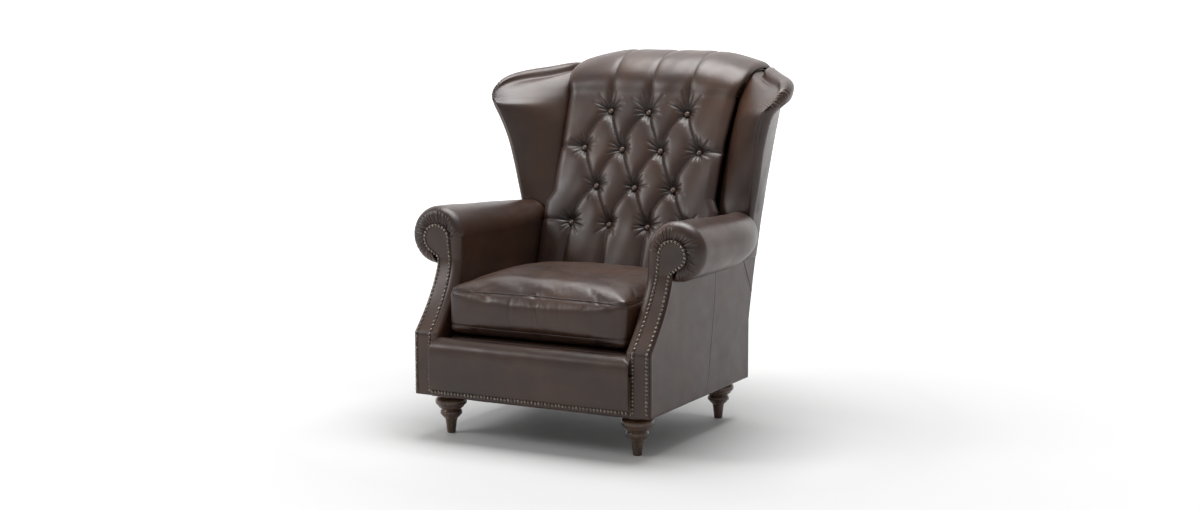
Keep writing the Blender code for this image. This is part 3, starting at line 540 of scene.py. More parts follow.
# %% Buttons and pleats
BUTTON_NAMES = [f"button_{i:02d}" for i in range(1, 15)]
BUTTONS = [(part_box(name)[0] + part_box(name)[1]) / 2 for name in BUTTON_NAMES]
ROWS = sorted({round(b.z, 3) for b in BUTTONS}, reverse=True)
ROW_AT = [along(z + BUTTON_SINK) for z in ROWS]
STUDS = [[round(b.x, 4) for b in BUTTONS if abs(b.z - z) < 0.01] for z in ROWS]
print(len(BUTTONS), "buttons in", len(ROWS), "rows")


def make_pleats():
    """Each pleat: its start and end across and along the panel, its bow and its depth."""
    pleats = []
    for (high, upper), (low, lower) in zip(zip(ROW_AT, STUDS), zip(ROW_AT[1:], STUDS[1:])):
        for a in upper:
            for b in lower:
                if abs(a - b) < 0.08:
                    bow = 0.013 if b < a else 0.004
                    pleats.append(((a, high), (b, low), bow, 1.0))
    for a in STUDS[0]:
        pleats.append(((a, ROW_AT[0]), (a * 1.08, PROFILE_AT[-1]), 0.0, 0.8))
    for a in STUDS[-1]:
        pleats.append(((a, ROW_AT[-1]), (a * 1.03, -0.02), 0.003, 0.9))
    for row in (1, 3):
        for a in (STUDS[row][0], STUDS[row][-1]):
            end = (a * 1.6, ROW_AT[row] - 0.002)
            pleats.append(((a, ROW_AT[row]), end, 0.0, 0.75 if row == 1 else 0.35))
    return pleats


def pleat_distance(x, s, start, end, bow):
    """Distance from a bowed pleat line, and how far to its upper side."""
    dx, ds = end[0] - start[0], end[1] - start[1]
    length = math.hypot(dx, ds)
    part = ((x - start[0]) * dx + (s - start[1]) * ds) / length**2
    side = ((x - start[0]) * ds - (s - start[1]) * dx) / length
    inside = np.clip(part, 0, 1)
    side = side - bow * 4 * inside * (1 - inside)
    return np.hypot(side, (part - inside) * length), side


def button_row(stud):
    """Which row of buttons a button is in, counted from the top."""
    return min(range(len(ROWS)), key=lambda row: abs(ROWS[row] - stud.z))


def button_gathers(x, s, stud):
    """Short folds that fan out of a button, deepest next to it."""
    row = button_row(stud)
    dx, ds = x - stud.x, s - ROW_AT[row]
    reach = np.hypot(dx, ds)
    near = reach < 0.07
    angle = np.arctan2(ds[near], dx[near])
    reach = reach[near]
    depth = np.zeros(len(reach))
    count = 14
    for k in range(count):
        way = 2 * math.pi * (k + RANDOM.uniform(-0.28, 0.28)) / count
        length = RANDOM.uniform(0.030, 0.058)
        if row == 0 and math.sin(way) > 0.3:
            length += 0.020  # the top row's folds run up over the roll
        off = (angle - way + math.pi) % (2 * math.pi) - math.pi
        wide = 0.0015 + reach * 0.062
        fade = ease(0.008, 0.013, reach) * np.clip(1 - (reach - 0.012) / (length - 0.012), 0, 1) ** 0.8
        depth += RANDOM.uniform(2.2, 4.6) * 0.001 * fade * bell(off * reach, wide)
    out = np.zeros(x.shape)
    out[near] = depth
    return out


# %% The buttoned panel
def make_back():
    columns = steps(-1, 1, 0.0021 / 0.29)
    u, row = np.meshgrid(columns, np.arange(len(PROFILE)), indexing="xy")
    s = PROFILE_AT[row]
    y, z = PROFILE[row, 0], PROFILE[row, 1]
    half = panel_half(np.maximum.accumulate(PROFILE[:, 1])[row])
    over = ease(along(0.90), along(0.90) + 0.16, s)
    x = u * half
    # the arched top
    drop = np.clip((np.abs(x) - 0.125) / 0.17, 0, 1) ** 1.7 * 0.034
    z = np.where(z > ROLL_Z, ROLL_Z + (z - ROLL_Z) * (1 - drop / TOP_RISE), z)
    points = np.stack([x, y, z], 2)
    normal = -sheet_normals(points)
    # rounding into the seams beside the arms and wings
    edge = half - np.abs(x)
    radius = 0.030 - 0.010 * over
    depth = 0.015 - 0.003 * over
    inside = np.clip(1 - edge / radius, 0, 1)
    height = -depth * quarter_round(edge, radius)
    # pleats and the puffs between them
    keep = np.ones(x.shape)
    # painted shade: the fold values darken the colour along each pleat line, round each button's pocket, in
    # the gathers and where the panel rounds into its seams
    crease_shade = np.zeros(x.shape)
    for start, end, bow, strength in make_pleats():
        away, side = pleat_distance(x, s, start, end, bow)
        width = np.where(side > 0, 0.0125, 0.0075)
        keep *= 1 - strength * np.exp(-away / width) * (1 - 0.45 * over)
        crease_shade = np.maximum(crease_shade, strength * bell(away, 0.0022))
    near_button = np.zeros(x.shape)
    for stud in BUTTONS:
        away = np.hypot(x - stud.x, s - ROW_AT[button_row(stud)])
        near_button = np.maximum(near_button, bell(away, 0.026))
        height -= 0.006 * bell(away, 0.011, 4) + 0.0070 * bell(away, 0.024)
        crease_shade = np.maximum(crease_shade, 0.75 * bell(away, 0.019))
    puff = 0.011 - 0.003 * over + 0.002 * near_button
    height -= puff * (1 - keep)
    gathers = np.zeros(x.shape)
    for stud in BUTTONS:
        gathers += button_gathers(x, s, stud)
    height -= gathers
    crease_shade = np.maximum(crease_shade, np.clip(gathers / 0.0028, 0, 0.9))
    crease_shade = np.maximum(crease_shade, np.clip(inside * 1.3 - 0.9, 0, 0.35))
    height += 0.0008 * ripple(x, s, 0.09)
    points = points + normal * height[:, :, None]
    return close_skin("inside_back_leather", points[::-1], 0.006, crease_shade[::-1])


upholster(make_back(), "inside_back", fill=0.8)


# %% [markdown]
# ## The rolled arms
#
# One hide covers the inside of an arm, rolls over its top and is nailed round the scroll at the
# front. The spare leather there is gathered into small pleats that run out from the nails like
# spokes. The cover is one grid: its columns follow the arm's cross-section, and its rows start
# under the nails, turn over the padded front edge, and then run back along the arm to where the
# roll slims down into the wing.

# %% The arm's cross-section and the nail line
ROLL_TOP = (0.636, 0.606)  # at the front and at the rear
ROLL_BOTTOM = 0.468
ROLL_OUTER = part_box("inside_arm_left")[1].x
ROLL_REAR_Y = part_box("inside_arm_left")[1].y
ROLL_FRONT_Y = float(front_line(1.0))
ARM_TAPER = 0.235
SCROLL = Vector((ARM_INNER + 0.079, ROLL_FRONT_Y, 0.543))
SCROLL_RADIUS = 0.0385
NAIL_INNER = ARM_INNER + 0.026
NAIL_OUTER = ARM_INNER + 0.068
ARM_FOOT = 0.236
ROLL_MIDDLE = 0.552  # height where the flat inner face turns into the roll


def roll_shape(y):
    """Centre, half width and half height of the roll at y, for arrays of y."""
    share = np.clip((y - (ROLL_REAR_Y - ARM_TAPER)) / (ARM_TAPER + 0.004), 0, 1)
    full = np.sqrt(1 - share**2)
    half = (OUTSIDE + 0.004 - ARM_INNER) / 2 + (ROLL_OUTER - OUTSIDE - 0.004) / 2 * full
    way = np.clip((y - ROLL_FRONT_Y) / (ROLL_REAR_Y - ROLL_FRONT_Y), 0, 1)
    top = ROLL_TOP[0] + (ROLL_TOP[1] - ROLL_TOP[0]) * way
    bottom = ROLL_BOTTOM + 0.070 * (1 - full)
    return ARM_INNER + half, (top + bottom) / 2, half, (top - bottom) / 2


SECTION_TURN = math.radians(272)  # how far the roll's leather goes round


def arm_columns(spacing):
    """Places round the section: negative up the inner face, then the angle turned over the roll."""
    _, z, half, _ = roll_shape(np.array(ROLL_FRONT_Y))
    face = float(z - ARM_FOOT)
    total = face + SECTION_TURN * float(half)
    at = steps(0, total, spacing)
    return np.where(at < face, at - face, (at - face) / float(half))


def arm_section(place, y):
    """(x, z) of the arm's surface at each place round the section."""
    middle_x, middle_z, half, rise = roll_shape(y)
    up = ARM_FOOT + (middle_z - ARM_FOOT) * (1 + place / (ROLL_MIDDLE - ARM_FOOT))
    angle = math.pi - np.maximum(place, 0)
    round_x = middle_x + half * np.cos(angle)
    round_z = middle_z + rise * np.sin(angle)
    flat = place < 0
    return np.where(flat, ARM_INNER, round_x), np.where(flat, up, round_z)


def nail_place(place):
    """(x, z) under the nails that the leather at each place is drawn to."""
    foot = np.clip(-place / (ROLL_MIDDLE - ARM_FOOT), 0, 1)
    z = ROLL_MIDDLE - foot * (ROLL_MIDDLE - ARM_FOOT)
    lift = np.clip((z - SWEEP[0]) / (SCROLL.z - SWEEP[0]), 0, 1)
    stem_x = NAIL_INNER + (SCROLL.x - SCROLL_RADIUS - NAIL_INNER) * lift**2
    angle = math.pi - np.maximum(place, 0) * 0.89
    ring_x = SCROLL.x + SCROLL_RADIUS * np.cos(angle)
    ring_z = SCROLL.z + SCROLL_RADIUS * np.sin(angle)
    part = ease(-0.06, 0.12, place)
    return stem_x + (ring_x - stem_x) * part, z + (ring_z - z) * part


# %% The arm covers
def gather_folds(place, out):
    """Height of the gathers: ridges round the scroll that fade with distance from the nails, and the painted
    shade in their valleys.
    """
    count = 25
    warped = place + 0.05 * np.sin(place * 5.1 + 0.7) + 0.03 * np.sin(place * 12.7)
    wave = warped * count / SECTION_TURN
    number = np.floor(wave).astype(int)
    lengths = RANDOM.uniform(0.030, 0.062, count + 12)
    heights = RANDOM.uniform(0.6, 1.25, count + 12)
    part = wave - number
    reach = lengths[number % len(lengths)] * (1 - part) + lengths[(number + 1) % len(lengths)] * part
    tall = heights[number % len(heights)] * (1 - part) + heights[(number + 1) % len(heights)] * part
    fade = ease(0.0, 0.006, out) * np.clip(1 - out / reach, 0, 1) ** 0.9
    strength = ease(-0.10, 0.25, place) * tall * fade
    valley = 1 - np.abs(np.sin(math.pi * wave)) ** 1.1
    return -0.0064 * valley * strength, np.clip(1.3 * valley - 0.4, 0, 1) * strength


def make_arm(name, side):
    place = arm_columns(0.0024)
    turn = np.radians(np.linspace(0, 90, 33))
    back = np.linspace(0, 1, 97)[1:] ** 1.15
    count = len(turn) + len(back)
    rows = (count - 1) // COARSE * COARSE + 1
    p = np.broadcast_to(place, (rows, len(place)))
    nail_x, nail_z = nail_place(place)
    start_y = front_line(nail_z) - 0.0005
    puff = 0.0022 + 0.0022 * ease(-0.1, 0.4, place)
    deep = 0.020 + 0.014 * ease(-0.08, 0.25, place)
    sweep = np.concatenate([turn, np.full(len(back), math.pi / 2)])[:rows, None]
    run = np.concatenate([np.zeros(len(turn)), back])[:rows, None]
    y = start_y + deep * (1 - np.cos(sweep)) - puff * np.sin(np.minimum(sweep * 2, math.pi)) ** 2
    y = y + 0.003 * bell(sweep, 0.12)
    y = y + run * (ROLL_REAR_Y - 0.001 - (start_y + deep))
    edge_x, edge_z = arm_section(p, y)
    spread = np.sin(sweep) ** 0.9
    x = nail_x + (edge_x - nail_x) * spread
    z = nail_z + (edge_z - nail_z) * spread
    points = np.stack([x, y, z], 2)
    normal = -sheet_normals(points)
    # how far out from the nails each point lies, along the leather
    stretch = np.linalg.norm(np.diff(points, axis=0), axis=2)
    out = np.concatenate([np.zeros((1, len(place))), np.cumsum(stretch, axis=0)])
    folds, crease_shade = gather_folds(p, out)
    face = np.where(p < 0, ease(-0.30, -0.20, p) * ease(0.0, -0.08, p) * 0.003, 0.0)
    soft = 0.0011 * ripple(p * 0.08 + 0 * out, out, 0.16) * ease(0.03, 0.09, out)
    points = points + normal * (folds + face * ease(0.02, 0.12, out) + soft)[:, :, None]
    # painted shade in the gathers' valleys and in a narrow band along the nails
    crease_shade = np.maximum(crease_shade * 0.8, bell(out, 0.004))
    points, crease_shade = turn_out(points, crease_shade, side)
    arm = close_skin(f"inside_arm_leather_{name}", points, 0.004, crease_shade)
    return upholster(arm, f"inside_arm_{name}", fill=0.8)


for side_name, side in SIDES:
    make_arm(side_name, side)


# %% [markdown]
# ## Facings and nails
#
# The facing is a flat panel nailed over the ends of the arm's leather: a stem with a round head.
# It is drawn as an outline, filled, remeshed evenly and then bent to the sweep of the arm front.
# Every nail is a small dome of its own. A row of domes is one mesh, because identical fixings
# ride together.

# %% Nail routes
def nail_route(spread=0.0, low=None):
    """(x, z) up the inner line, round the scroll and down the outer line."""
    low = BASE_LOW + 0.016 if low is None else low
    radius = SCROLL_RADIUS + spread
    inner, outer = NAIL_INNER - spread, NAIL_OUTER + spread
    route = [(inner, low), (inner, SWEEP[0])]
    for share in np.linspace(0, 1, 9)[1:-1]:
        x = inner + (SCROLL.x - radius - inner) * share**2
        route.append((x, SWEEP[0] + (SCROLL.z - SWEEP[0]) * share))
    for angle in np.radians(np.linspace(180, -62, 30)):
        route.append((SCROLL.x + radius * math.cos(angle), SCROLL.z + radius * math.sin(angle)))
    route += [(outer + 0.0035, SWEEP[1] + 0.002), (outer + 0.001, SWEEP[1] - 0.022)]
    route += [(outer, SWEEP[0]), (outer, low)]
    return np.array(route)


# %% Facing panels
def make_facing(name, side):
    outline = nail_route(0.0050, BASE_LOW + 0.001)
    curve = bpy.data.curves.new("facing_outline", "CURVE")
    curve.dimensions = "2D"
    curve.fill_mode = "BOTH"
    curve.extrude = 0.0035
    line = curve.splines.new("POLY")
    line.points.add(len(outline) - 1)
    for point, (x, z) in zip(line.points, outline):
        point.co = (side * x, z, 0.0, 1.0)
    line.use_cyclic_u = True
    flat = add_object("facing_outline", curve)
    graph = bpy.context.evaluated_depsgraph_get()
    mesh = bpy.data.meshes.new_from_object(flat.evaluated_get(graph))
    obj = add_object(f"arm_facing_leather_{name}", mesh)
    bpy.data.objects.remove(flat)
    remesh = obj.modifiers.new("even mesh", "REMESH")
    remesh.mode = "VOXEL"
    remesh.voxel_size = 0.0019
    smooth = obj.modifiers.new("round edges", "SMOOTH")
    smooth.iterations = 4
    freeze(obj)
    co = points_of(obj)
    x, z, thick = co[:, 0].copy(), co[:, 1].copy(), co[:, 2].copy()
    sweep = front_line(z)
    kink = bell(z - SWEEP[0], 0.006)
    soft = 0.0006 * ripple(x, z, 0.06)
    depth = sweep + 0.0026 + kink * 0.0012
    co = np.stack([x, depth - thick - soft, z], 1)
    set_points(obj, co)
    flip_faces(obj)
    obj.data.shade_smooth()
    # painted shade where the facing kinks at the foot of the sweep
    set_attribute(obj, "crease_shade", 0.5 * kink)
    return upholster(obj, f"arm_facing_{name}", fill=0.9)


def points_of(obj):
    co = np.empty(len(obj.data.vertices) * 3)
    obj.data.vertices.foreach_get("co", co)
    return co.reshape(-1, 3)


def set_points(obj, co):
    obj.data.vertices.foreach_set("co", np.ascontiguousarray(co, float).ravel())
    obj.data.update()


def freeze(obj):
    """Applies the modifiers, so that the mesh is what shows."""
    graph = bpy.context.evaluated_depsgraph_get()
    mesh = bpy.data.meshes.new_from_object(obj.evaluated_get(graph))
    obj.modifiers.clear()
    obj.data = mesh
    return obj


def flip_faces(obj):
    """Turns the faces outward."""
    shape = bmesh.new()
    shape.from_mesh(obj.data)
    bmesh.ops.recalc_face_normals(shape, faces=shape.faces)
    shape.to_mesh(obj.data)
    shape.free()


for side_name, side in SIDES:
    make_facing(side_name, side)


# %% Nail domes
NAIL_PITCH = 0.0107
NAIL_RADIUS = 0.0044
NAIL_HEIGHT = 0.0030


def dome_ring():
    """Points and faces of one nail head, with its axis along +Z."""
    sides, bands = 12, 4
    points = [(0.0, 0.0, NAIL_HEIGHT)]
    faces = []
    for band in range(1, bands + 1):
        angle = math.radians(90 * band / bands)
        for k in range(sides):
            way = 2 * math.pi * k / sides
            reach = NAIL_RADIUS * math.sin(angle)
            points.append((reach * math.cos(way), reach * math.sin(way), NAIL_HEIGHT * math.cos(angle)))
    for k in range(sides):
        faces.append((0, 1 + k, 1 + (k + 1) % sides))
        for band in range(bands - 1):
            a, b = 1 + band * sides + k, 1 + band * sides + (k + 1) % sides
            faces.append((a, a + sides, b + sides, b))
    faces.append([1 + (bands - 1) * sides + k for k in reversed(range(sides))])
    return np.array(points), faces


def make_nails(name, places, outward, node):
    """A row of nail heads at places, each with its axis along outward."""
    dome, dome_faces = dome_ring()
    points, faces = [], []
    for place, way in zip(places, outward):
        turn = Vector(way).to_track_quat("Z", "Y").to_matrix()
        tilt = np.array(turn) @ np.diag([1, 1, RANDOM.uniform(0.9, 1.05)])
        base = len(points)
        points += (dome @ tilt.T + np.array(place)).tolist()
        faces += [[base + i for i in face] for face in dome_faces]
    obj = add_mesh(name, points, faces)
    dress(obj, "chair", "nail_bronze", BRONZE, node)
    print(name, len(places), "nails")


def arm_nails(name, side):
    route, _ = evenly(nail_route(), 0.0005)
    length = lengths(route)
    count = round(length[-1] / NAIL_PITCH)
    at = np.linspace(0, length[-1], count + 1)
    x, z = np.interp(at, length, route[:, 0]), np.interp(at, length, route[:, 1])
    y = front_line(z) - 0.0016
    slope = (front_line(z + 0.002) - front_line(z - 0.002)) / 0.004
    places = np.stack([side * x, y, z], 1)
    make_nails(f"nails_arm_{name}", places, [(0, -1, s) for s in slope], f"nail_trim_arm_{name}")


def bronze():
    """Antiqued bronze, mottled between nearly black and rubbed brighter tones."""
    material, tree, shader = new_material("antique_bronze")
    color = mix_colors(tree, mottled(tree, 180.0), (0.085, 0.070, 0.058, 1), (0.30, 0.26, 0.22, 1))
    tree.links.new(color, shader.inputs["Base Color"])
    shader.inputs["Metallic"].default_value = 1.0
    shader.inputs["Roughness"].default_value = 0.30
    return material


BRONZE = bronze()
for side_name, side in SIDES:
    arm_nails(side_name, side)


# %% [markdown]
# ## The front border
#
# A padded panel covers the front rail. It rolls over at the top, so that the cushion sits behind a
# soft edge, and it is nailed along its foot, above a narrow turned-under strip.

# %% Front border
def border_profile():
    """(y, z) from the foot up the face and over the rolled top."""
    front, back = BORDER_LOW.y, BORDER_HIGH.y
    top = BORDER_HIGH.z
    stations = [
        (front + 0.0150, BASE_LOW + 0.0005),
        (front + 0.0095, BASE_LOW + 0.006),
        (front + 0.0088, BASE_LOW + 0.012),
        (front + 0.0098, BASE_LOW + 0.0155),
        (front + 0.0055, BASE_LOW + 0.024),
        (front + 0.0030, BASE_LOW + 0.045),
        (front + 0.0018, BASE_LOW + 0.075),
        (front + 0.0014, BASE_LOW + 0.100),
        (front + 0.0006, BASE_LOW + 0.122),
        (front + 0.0045, BASE_LOW + 0.143),
        (front + 0.0160, top - 0.008),
        (front + 0.0320, top),
        (front + 0.0480, top - 0.002),
        (back - 0.0060, top - 0.012),
        (back - 0.0015, top - 0.035),
    ]
    return evenly(spline(stations, np.linspace(0, len(stations) - 1, 200)), 0.0026)


def make_border():
    line, at = border_profile()
    half = NAIL_INNER - 0.0052
    x = steps(-half, half, 0.0032)
    x, row = np.meshgrid(x, np.arange(len(line)))
    points = np.stack([x, line[row, 0], line[row, 1]], 2)
    normal = -sheet_normals(points)
    edge = half - np.abs(x)
    inside = np.clip(1 - edge / 0.005, 0, 1)
    height = -0.003 * quarter_round(edge, 0.005)
    s = at[row]
    crest = at[np.argmax(line[:, 1])]
    # a short fold at each upper corner
    corner = np.hypot(edge, s - crest + 0.015)
    fold = np.abs((s - crest + 0.035) - edge * 0.9)
    height -= 0.0022 * bell(fold, 0.003) * bell(corner, 0.035)
    height += 0.0012 * ripple(x, s, 0.22) + 0.0005 * ripple(x, s, 0.07)
    # painted shade at the rounded ends and along the groove at the nail line
    crease_shade = np.maximum(0.2 * inside, 0.7 * bell(points[:, :, 2] - BASE_LOW - 0.014, 0.003))
    points = points + normal * height[:, :, None]
    return close_skin("front_border_leather", points[::-1], 0.004, crease_shade[::-1])


upholster(make_border(), "front_border", fill=0.8)


def border_nails():
    half = NAIL_INNER - 0.014
    count = round(2 * half / NAIL_PITCH)
    x = np.linspace(-half, half, count + 1)
    places = np.stack([x, np.full_like(x, BORDER_LOW.y + 0.0088), np.full_like(x, BASE_LOW + 0.0142)], 1)
    make_nails("nails_front", places, [(0, -1, 0)] * len(places), "nail_trim_front")


border_nails()


# %% [markdown]
# ## The wings
#
# A wing is a thick padded plate with a soft rim. Its inner cover starts in the seam beside the
# buttoned panel, crosses the plate and rolls round the rim: forward along the front edge, and
# upward along the top, where it runs into the back's own roll. Each station of this loft is one
# cut across the rim, and its points follow from the join, the rim and the seam outside.

# %% Wing stations
def wing_stations():
    """(join, rim, outer seam, rim direction, rim radius), up the front edge and back over the top."""
    return [
        ((0.274, 0.158, 0.570), (0.380, 0.160, 0.566), (0.364, 0.182, 0.568), (0.95, -0.30, 0.0), 0.016),
        ((0.272, 0.166, 0.604), (0.386, 0.157, 0.602), (0.372, 0.182, 0.603), (0.95, -0.30, 0.0), 0.017),
        ((0.268, 0.186, 0.655), (0.393, 0.151, 0.650), (0.379, 0.181, 0.650), (0.90, -0.43, 0.0), 0.018),
        ((0.268, 0.216, 0.730), (0.405, 0.145, 0.720), (0.392, 0.176, 0.720), (0.88, -0.47, 0.0), 0.019),
        ((0.268, 0.240, 0.790), (0.419, 0.134, 0.790), (0.408, 0.166, 0.790), (0.88, -0.47, 0.0), 0.020),
        ((0.268, 0.262, 0.835), (0.436, 0.119, 0.850), (0.427, 0.153, 0.850), (0.87, -0.48, 0.10), 0.021),
        ((0.269, 0.280, 0.870), (0.455, 0.110, 0.897), (0.448, 0.145, 0.893), (0.84, -0.47, 0.27), 0.023),
        ((0.271, 0.294, 0.905), (0.471, 0.127, 0.927), (0.464, 0.160, 0.915), (0.66, -0.30, 0.69), 0.026),
        ((0.275, 0.305, 0.931), (0.473, 0.170, 0.957), (0.463, 0.200, 0.925), (0.38, -0.05, 0.92), 0.030),
        ((0.280, 0.315, 0.953), (0.460, 0.222, 0.977), (0.444, 0.248, 0.930), (0.20, 0.05, 0.98), 0.032),
        ((0.286, 0.328, 0.973), (0.430, 0.278, 0.989), (0.424, 0.302, 0.934), (0.15, 0.08, 0.99), 0.033),
        ((0.291, 0.347, 0.989), (0.384, 0.333, 0.999), (0.405, 0.352, 0.937), (0.15, 0.08, 0.99), 0.034),
        ((0.293, 0.376, 0.999), (0.340, 0.384, 1.009), (0.390, 0.396, 0.939), (0.15, 0.05, 0.99), 0.034),
        ((0.292, 0.416, 1.001), (0.322, 0.430, 1.008), (0.376, 0.428, 0.943), (0.15, 0.05, 0.99), 0.034),
        ((0.288, 0.450, 0.990), (0.310, 0.460, 0.995), (0.352, 0.452, 0.950), (0.20, 0.40, 0.90), 0.030),
        ((0.280, 0.466, 0.970), (0.300, 0.471, 0.976), (0.326, 0.464, 0.956), (0.20, 0.70, 0.60), 0.020),
    ]


def wing_cut(join, rim, seam, way, radius):
    """Control points across one station, from the join to the outer seam."""
    join, rim, seam, way = (np.array(v, float) for v in (join, rim, seam, way))
    way /= np.linalg.norm(way)
    across = rim - join
    toward = np.array([-0.47, -0.87, 0.16])
    toward -= way * toward.dot(way)
    toward /= np.linalg.norm(toward)
    reach = np.linalg.norm(across)
    radius = min(radius, reach * 0.6)
    middle = rim - way * radius
    inner = middle + toward * radius
    flat = join + (inner - join) * 0.5 + toward * 0.006
    outer = middle + (way - toward) * radius * 0.72
    shoulder = (middle - toward * radius) * 0.6 + seam * 0.4
    shoulder += (shoulder - middle) * 0.10
    return [
        join - toward * 0.008,
        join + (inner - join) * 0.06 + toward * 0.004,
        flat,
        inner,
        middle + (way + toward) * radius * 0.72,
        rim,
        outer,
        shoulder,
        seam,
        seam + (middle - seam) * 0.25,
    ]


# %% Wing covers
WING_SPACING = 0.0030
RIM = 5  # the rim's place among the points of a cut
TURN = 8  # the station where the front edge has turned into the top


def wing_sheet():
    """The loft as an even grid, with the lengths along it and across it.

    It also gives the place across of the rim and the length along where the edge turns.
    """
    cuts = np.array([wing_cut(*station) for station in wing_stations()])
    stations = np.linspace(0, len(cuts) - 1, 400)
    rough = spline(cuts, stations)
    length = lengths(rough[:, RIM])
    at = steps(0, length[-1], WING_SPACING)
    columns = [
        np.stack([np.interp(at, length, rough[:, k, axis]) for axis in range(3)], 1)
        for k in range(rough.shape[1])
    ]
    samples = 300
    fine = spline(np.array(columns), np.linspace(0, len(columns) - 1, samples)).transpose(1, 0, 2)
    across = np.linalg.norm(np.diff(fine, axis=1), axis=2).mean(axis=0)
    across = np.concatenate([[0], np.cumsum(across)])
    places = steps(0, across[-1], WING_SPACING)
    pick = np.interp(places, across, np.arange(samples))
    low = np.floor(pick).astype(int).clip(0, samples - 2)
    part = (pick - low)[None, :, None]
    points = fine[:, low] * (1 - part) + fine[:, low + 1] * part
    rim_place = np.interp(RIM * (samples - 1) / (len(columns) - 1), np.arange(samples), across)
    return points, at, places, rim_place, np.interp(TURN, stations, length) - 0.030


def make_wing(name, side):
    points, at, places, rim_place, turn_at = wing_sheet()
    normal = -sheet_normals(points)
    # gathers where the front roll meets the top
    length_at, place_at = np.meshgrid(at, places, indexing="ij")
    wave = (length_at - turn_at + 0.45 * (place_at - rim_place)) / 0.0115
    wave = wave + 0.25 * np.sin(wave * 1.3) + 0.2 * np.sin(wave * 0.47 + 1)
    fold = 1 - np.abs(np.sin(math.pi * wave)) ** 1.1
    where = bell(length_at - turn_at + 0.006, 0.042, 4)
    where = where * bell(place_at - rim_place + 0.012, 0.032)
    trail = ease(turn_at - 0.17, turn_at - 0.03, length_at) * ease(turn_at + 0.02, turn_at - 0.02, length_at)
    where = np.maximum(where, 0.8 * trail * bell(place_at - rim_place - 0.026, 0.010))
    height = -0.0068 * fold * where
    height = height + 0.0012 * ripple(length_at, place_at, 0.20)
    # painted shade in the gathers' valleys and along the join beside the buttoned panel
    crease_shade = np.clip(1.5 * fold - 0.35, 0, 1) * where
    crease_shade = np.maximum(crease_shade, 0.5 * bell(place_at, 0.006))
    points = points + normal * height[:, :, None]
    points, crease_shade = turn_out(points, crease_shade, side)
    wing = close_skin(f"inside_wing_leather_{name}", points, 0.004, crease_shade)
    return upholster(wing, f"inside_wing_{name}", fill=0.8)


for side_name, side in SIDES:
    make_wing(side_name, side)


# %% [markdown]
# ## The outside panels
#
# Outside, the leather is stretched flat over the frame, so these covers only swell a millimetre or
# two. What shows there are the seams: a welted front edge, a long vertical join in the arm panel
# and the slanting seam below the wing.

# %% Outside arm panels
def seam_groove(away, depth=0.0012, wide=0.0022):
    """A sewn seam: a narrow valley between two slightly raised edges."""
    away = np.abs(away)
    return -depth * bell(away, wide) + 0.4 * depth * bell(away - 2.4 * wide, wide)


def make_outside_arm(name, side):
    z = steps(BASE_LOW + 0.0005, 0.600, 0.0036)
    u = steps(0, 1, 0.0036 / 0.62)
    u, z = np.meshgrid(u, z)
    front = front_line(z) + 0.0040
    rear = rear_line(z) - 0.0012
    y = front + (rear - front) * u
    x = np.full_like(y, OUTSIDE - 0.0008)
    from_front, from_rear = y - front, rear - y
    foot = z - BASE_LOW
    swell = 0.0030 * np.sin(math.pi * np.clip(u, 0, 1)) * ease(0, 0.06, foot)
    x = x + swell - 0.004 * quarter_round(from_front, 0.005)
    x = x - 0.006 * quarter_round(from_rear, 0.008)
    x = x - 0.004 * quarter_round(foot, 0.006)
    # the long upright seam, and the slanting one that stops short of the arm
    seam_y = np.interp(z, [BASE_LOW, 0.38, 0.60], [-0.130, -0.082, -0.070])
    slant = ((z - 0.358) - (0.190 - y) * 1.55) * 0.54
    above = ease(0.340, 0.375, z)
    groove = seam_groove(y - seam_y, 0.0009)
    slant_seam = seam_groove(slant, 0.0016) * above
    welt = 0.0014 * bell(from_front - 0.0055, 0.0022)
    x = x + groove + slant_seam + welt + 0.0006 * ripple(y, z, 0.22)
    # painted shade along the upright seam and the slanting seam
    crease_shade = 0.5 * bell(y - seam_y, 0.0016) + 0.8 * bell(slant, 0.002) * above
    points = np.stack([x, y, z], 2)
    points, crease_shade = turn_out(points, crease_shade, side)
    panel = close_skin(f"outside_arm_leather_{name}", points, SKIN, crease_shade)
    return upholster(panel, f"outside_arm_{name}", fill=0.3)


for side_name, side in SIDES:
    make_outside_arm(side_name, side)


# %% Outside wing panels
def make_outside_wing(name, side):
    stations = wing_stations()
    seam = np.array([s[2] for s in stations[:11]])
    z = steps(0.470, 0.936, 0.0038)
    u = steps(0, 1, 0.0038 / 0.2)
    u, zz = np.meshgrid(u, z)
    order = np.argsort(seam[:, 2])
    front_x = np.interp(zz, seam[order, 2], seam[order, 0])
    front_y = np.interp(zz, seam[order, 2], seam[order, 1]) - 0.004
    lower = ease(0.606, 0.590, zz)
    front_x = front_x + (OUTSIDE + 0.001 - front_x) * lower
    front_y = front_y + (ROLL_REAR_Y - 0.030 - front_y) * lower
    rear_x = OUTSIDE - 0.0005
    rear_y = rear_line(zz) - 0.001
    x = front_x + (rear_x - front_x) * u
    y = front_y + (rear_y - front_y) * u
    points = np.stack([x, y, zz], 2)
    normal = sheet_normals(points[:, ::-1])[:, ::-1]
    away = np.minimum(u, 1 - u) * 0.2
    edge = np.clip(1 - away / 0.007, 0, 1)
    height = 0.004 * np.sin(math.pi * u) - 0.004 * quarter_round(away, 0.007)
    height = height + 0.0005 * ripple(y, zz, 0.15)
    points = points + normal * height[:, :, None]
    # painted shade where the panel rounds down at its front and rear edges
    crease_shade = 0.6 * np.clip(edge * 1.5 - 0.8, 0, 1)
    points, crease_shade = turn_out(points, crease_shade, side)
    panel = close_skin(f"outside_wing_leather_{name}", points, SKIN, crease_shade)
    return upholster(panel, f"outside_wing_{name}", fill=0.3)


for side_name, side in SIDES:
    make_outside_wing(side_name, side)


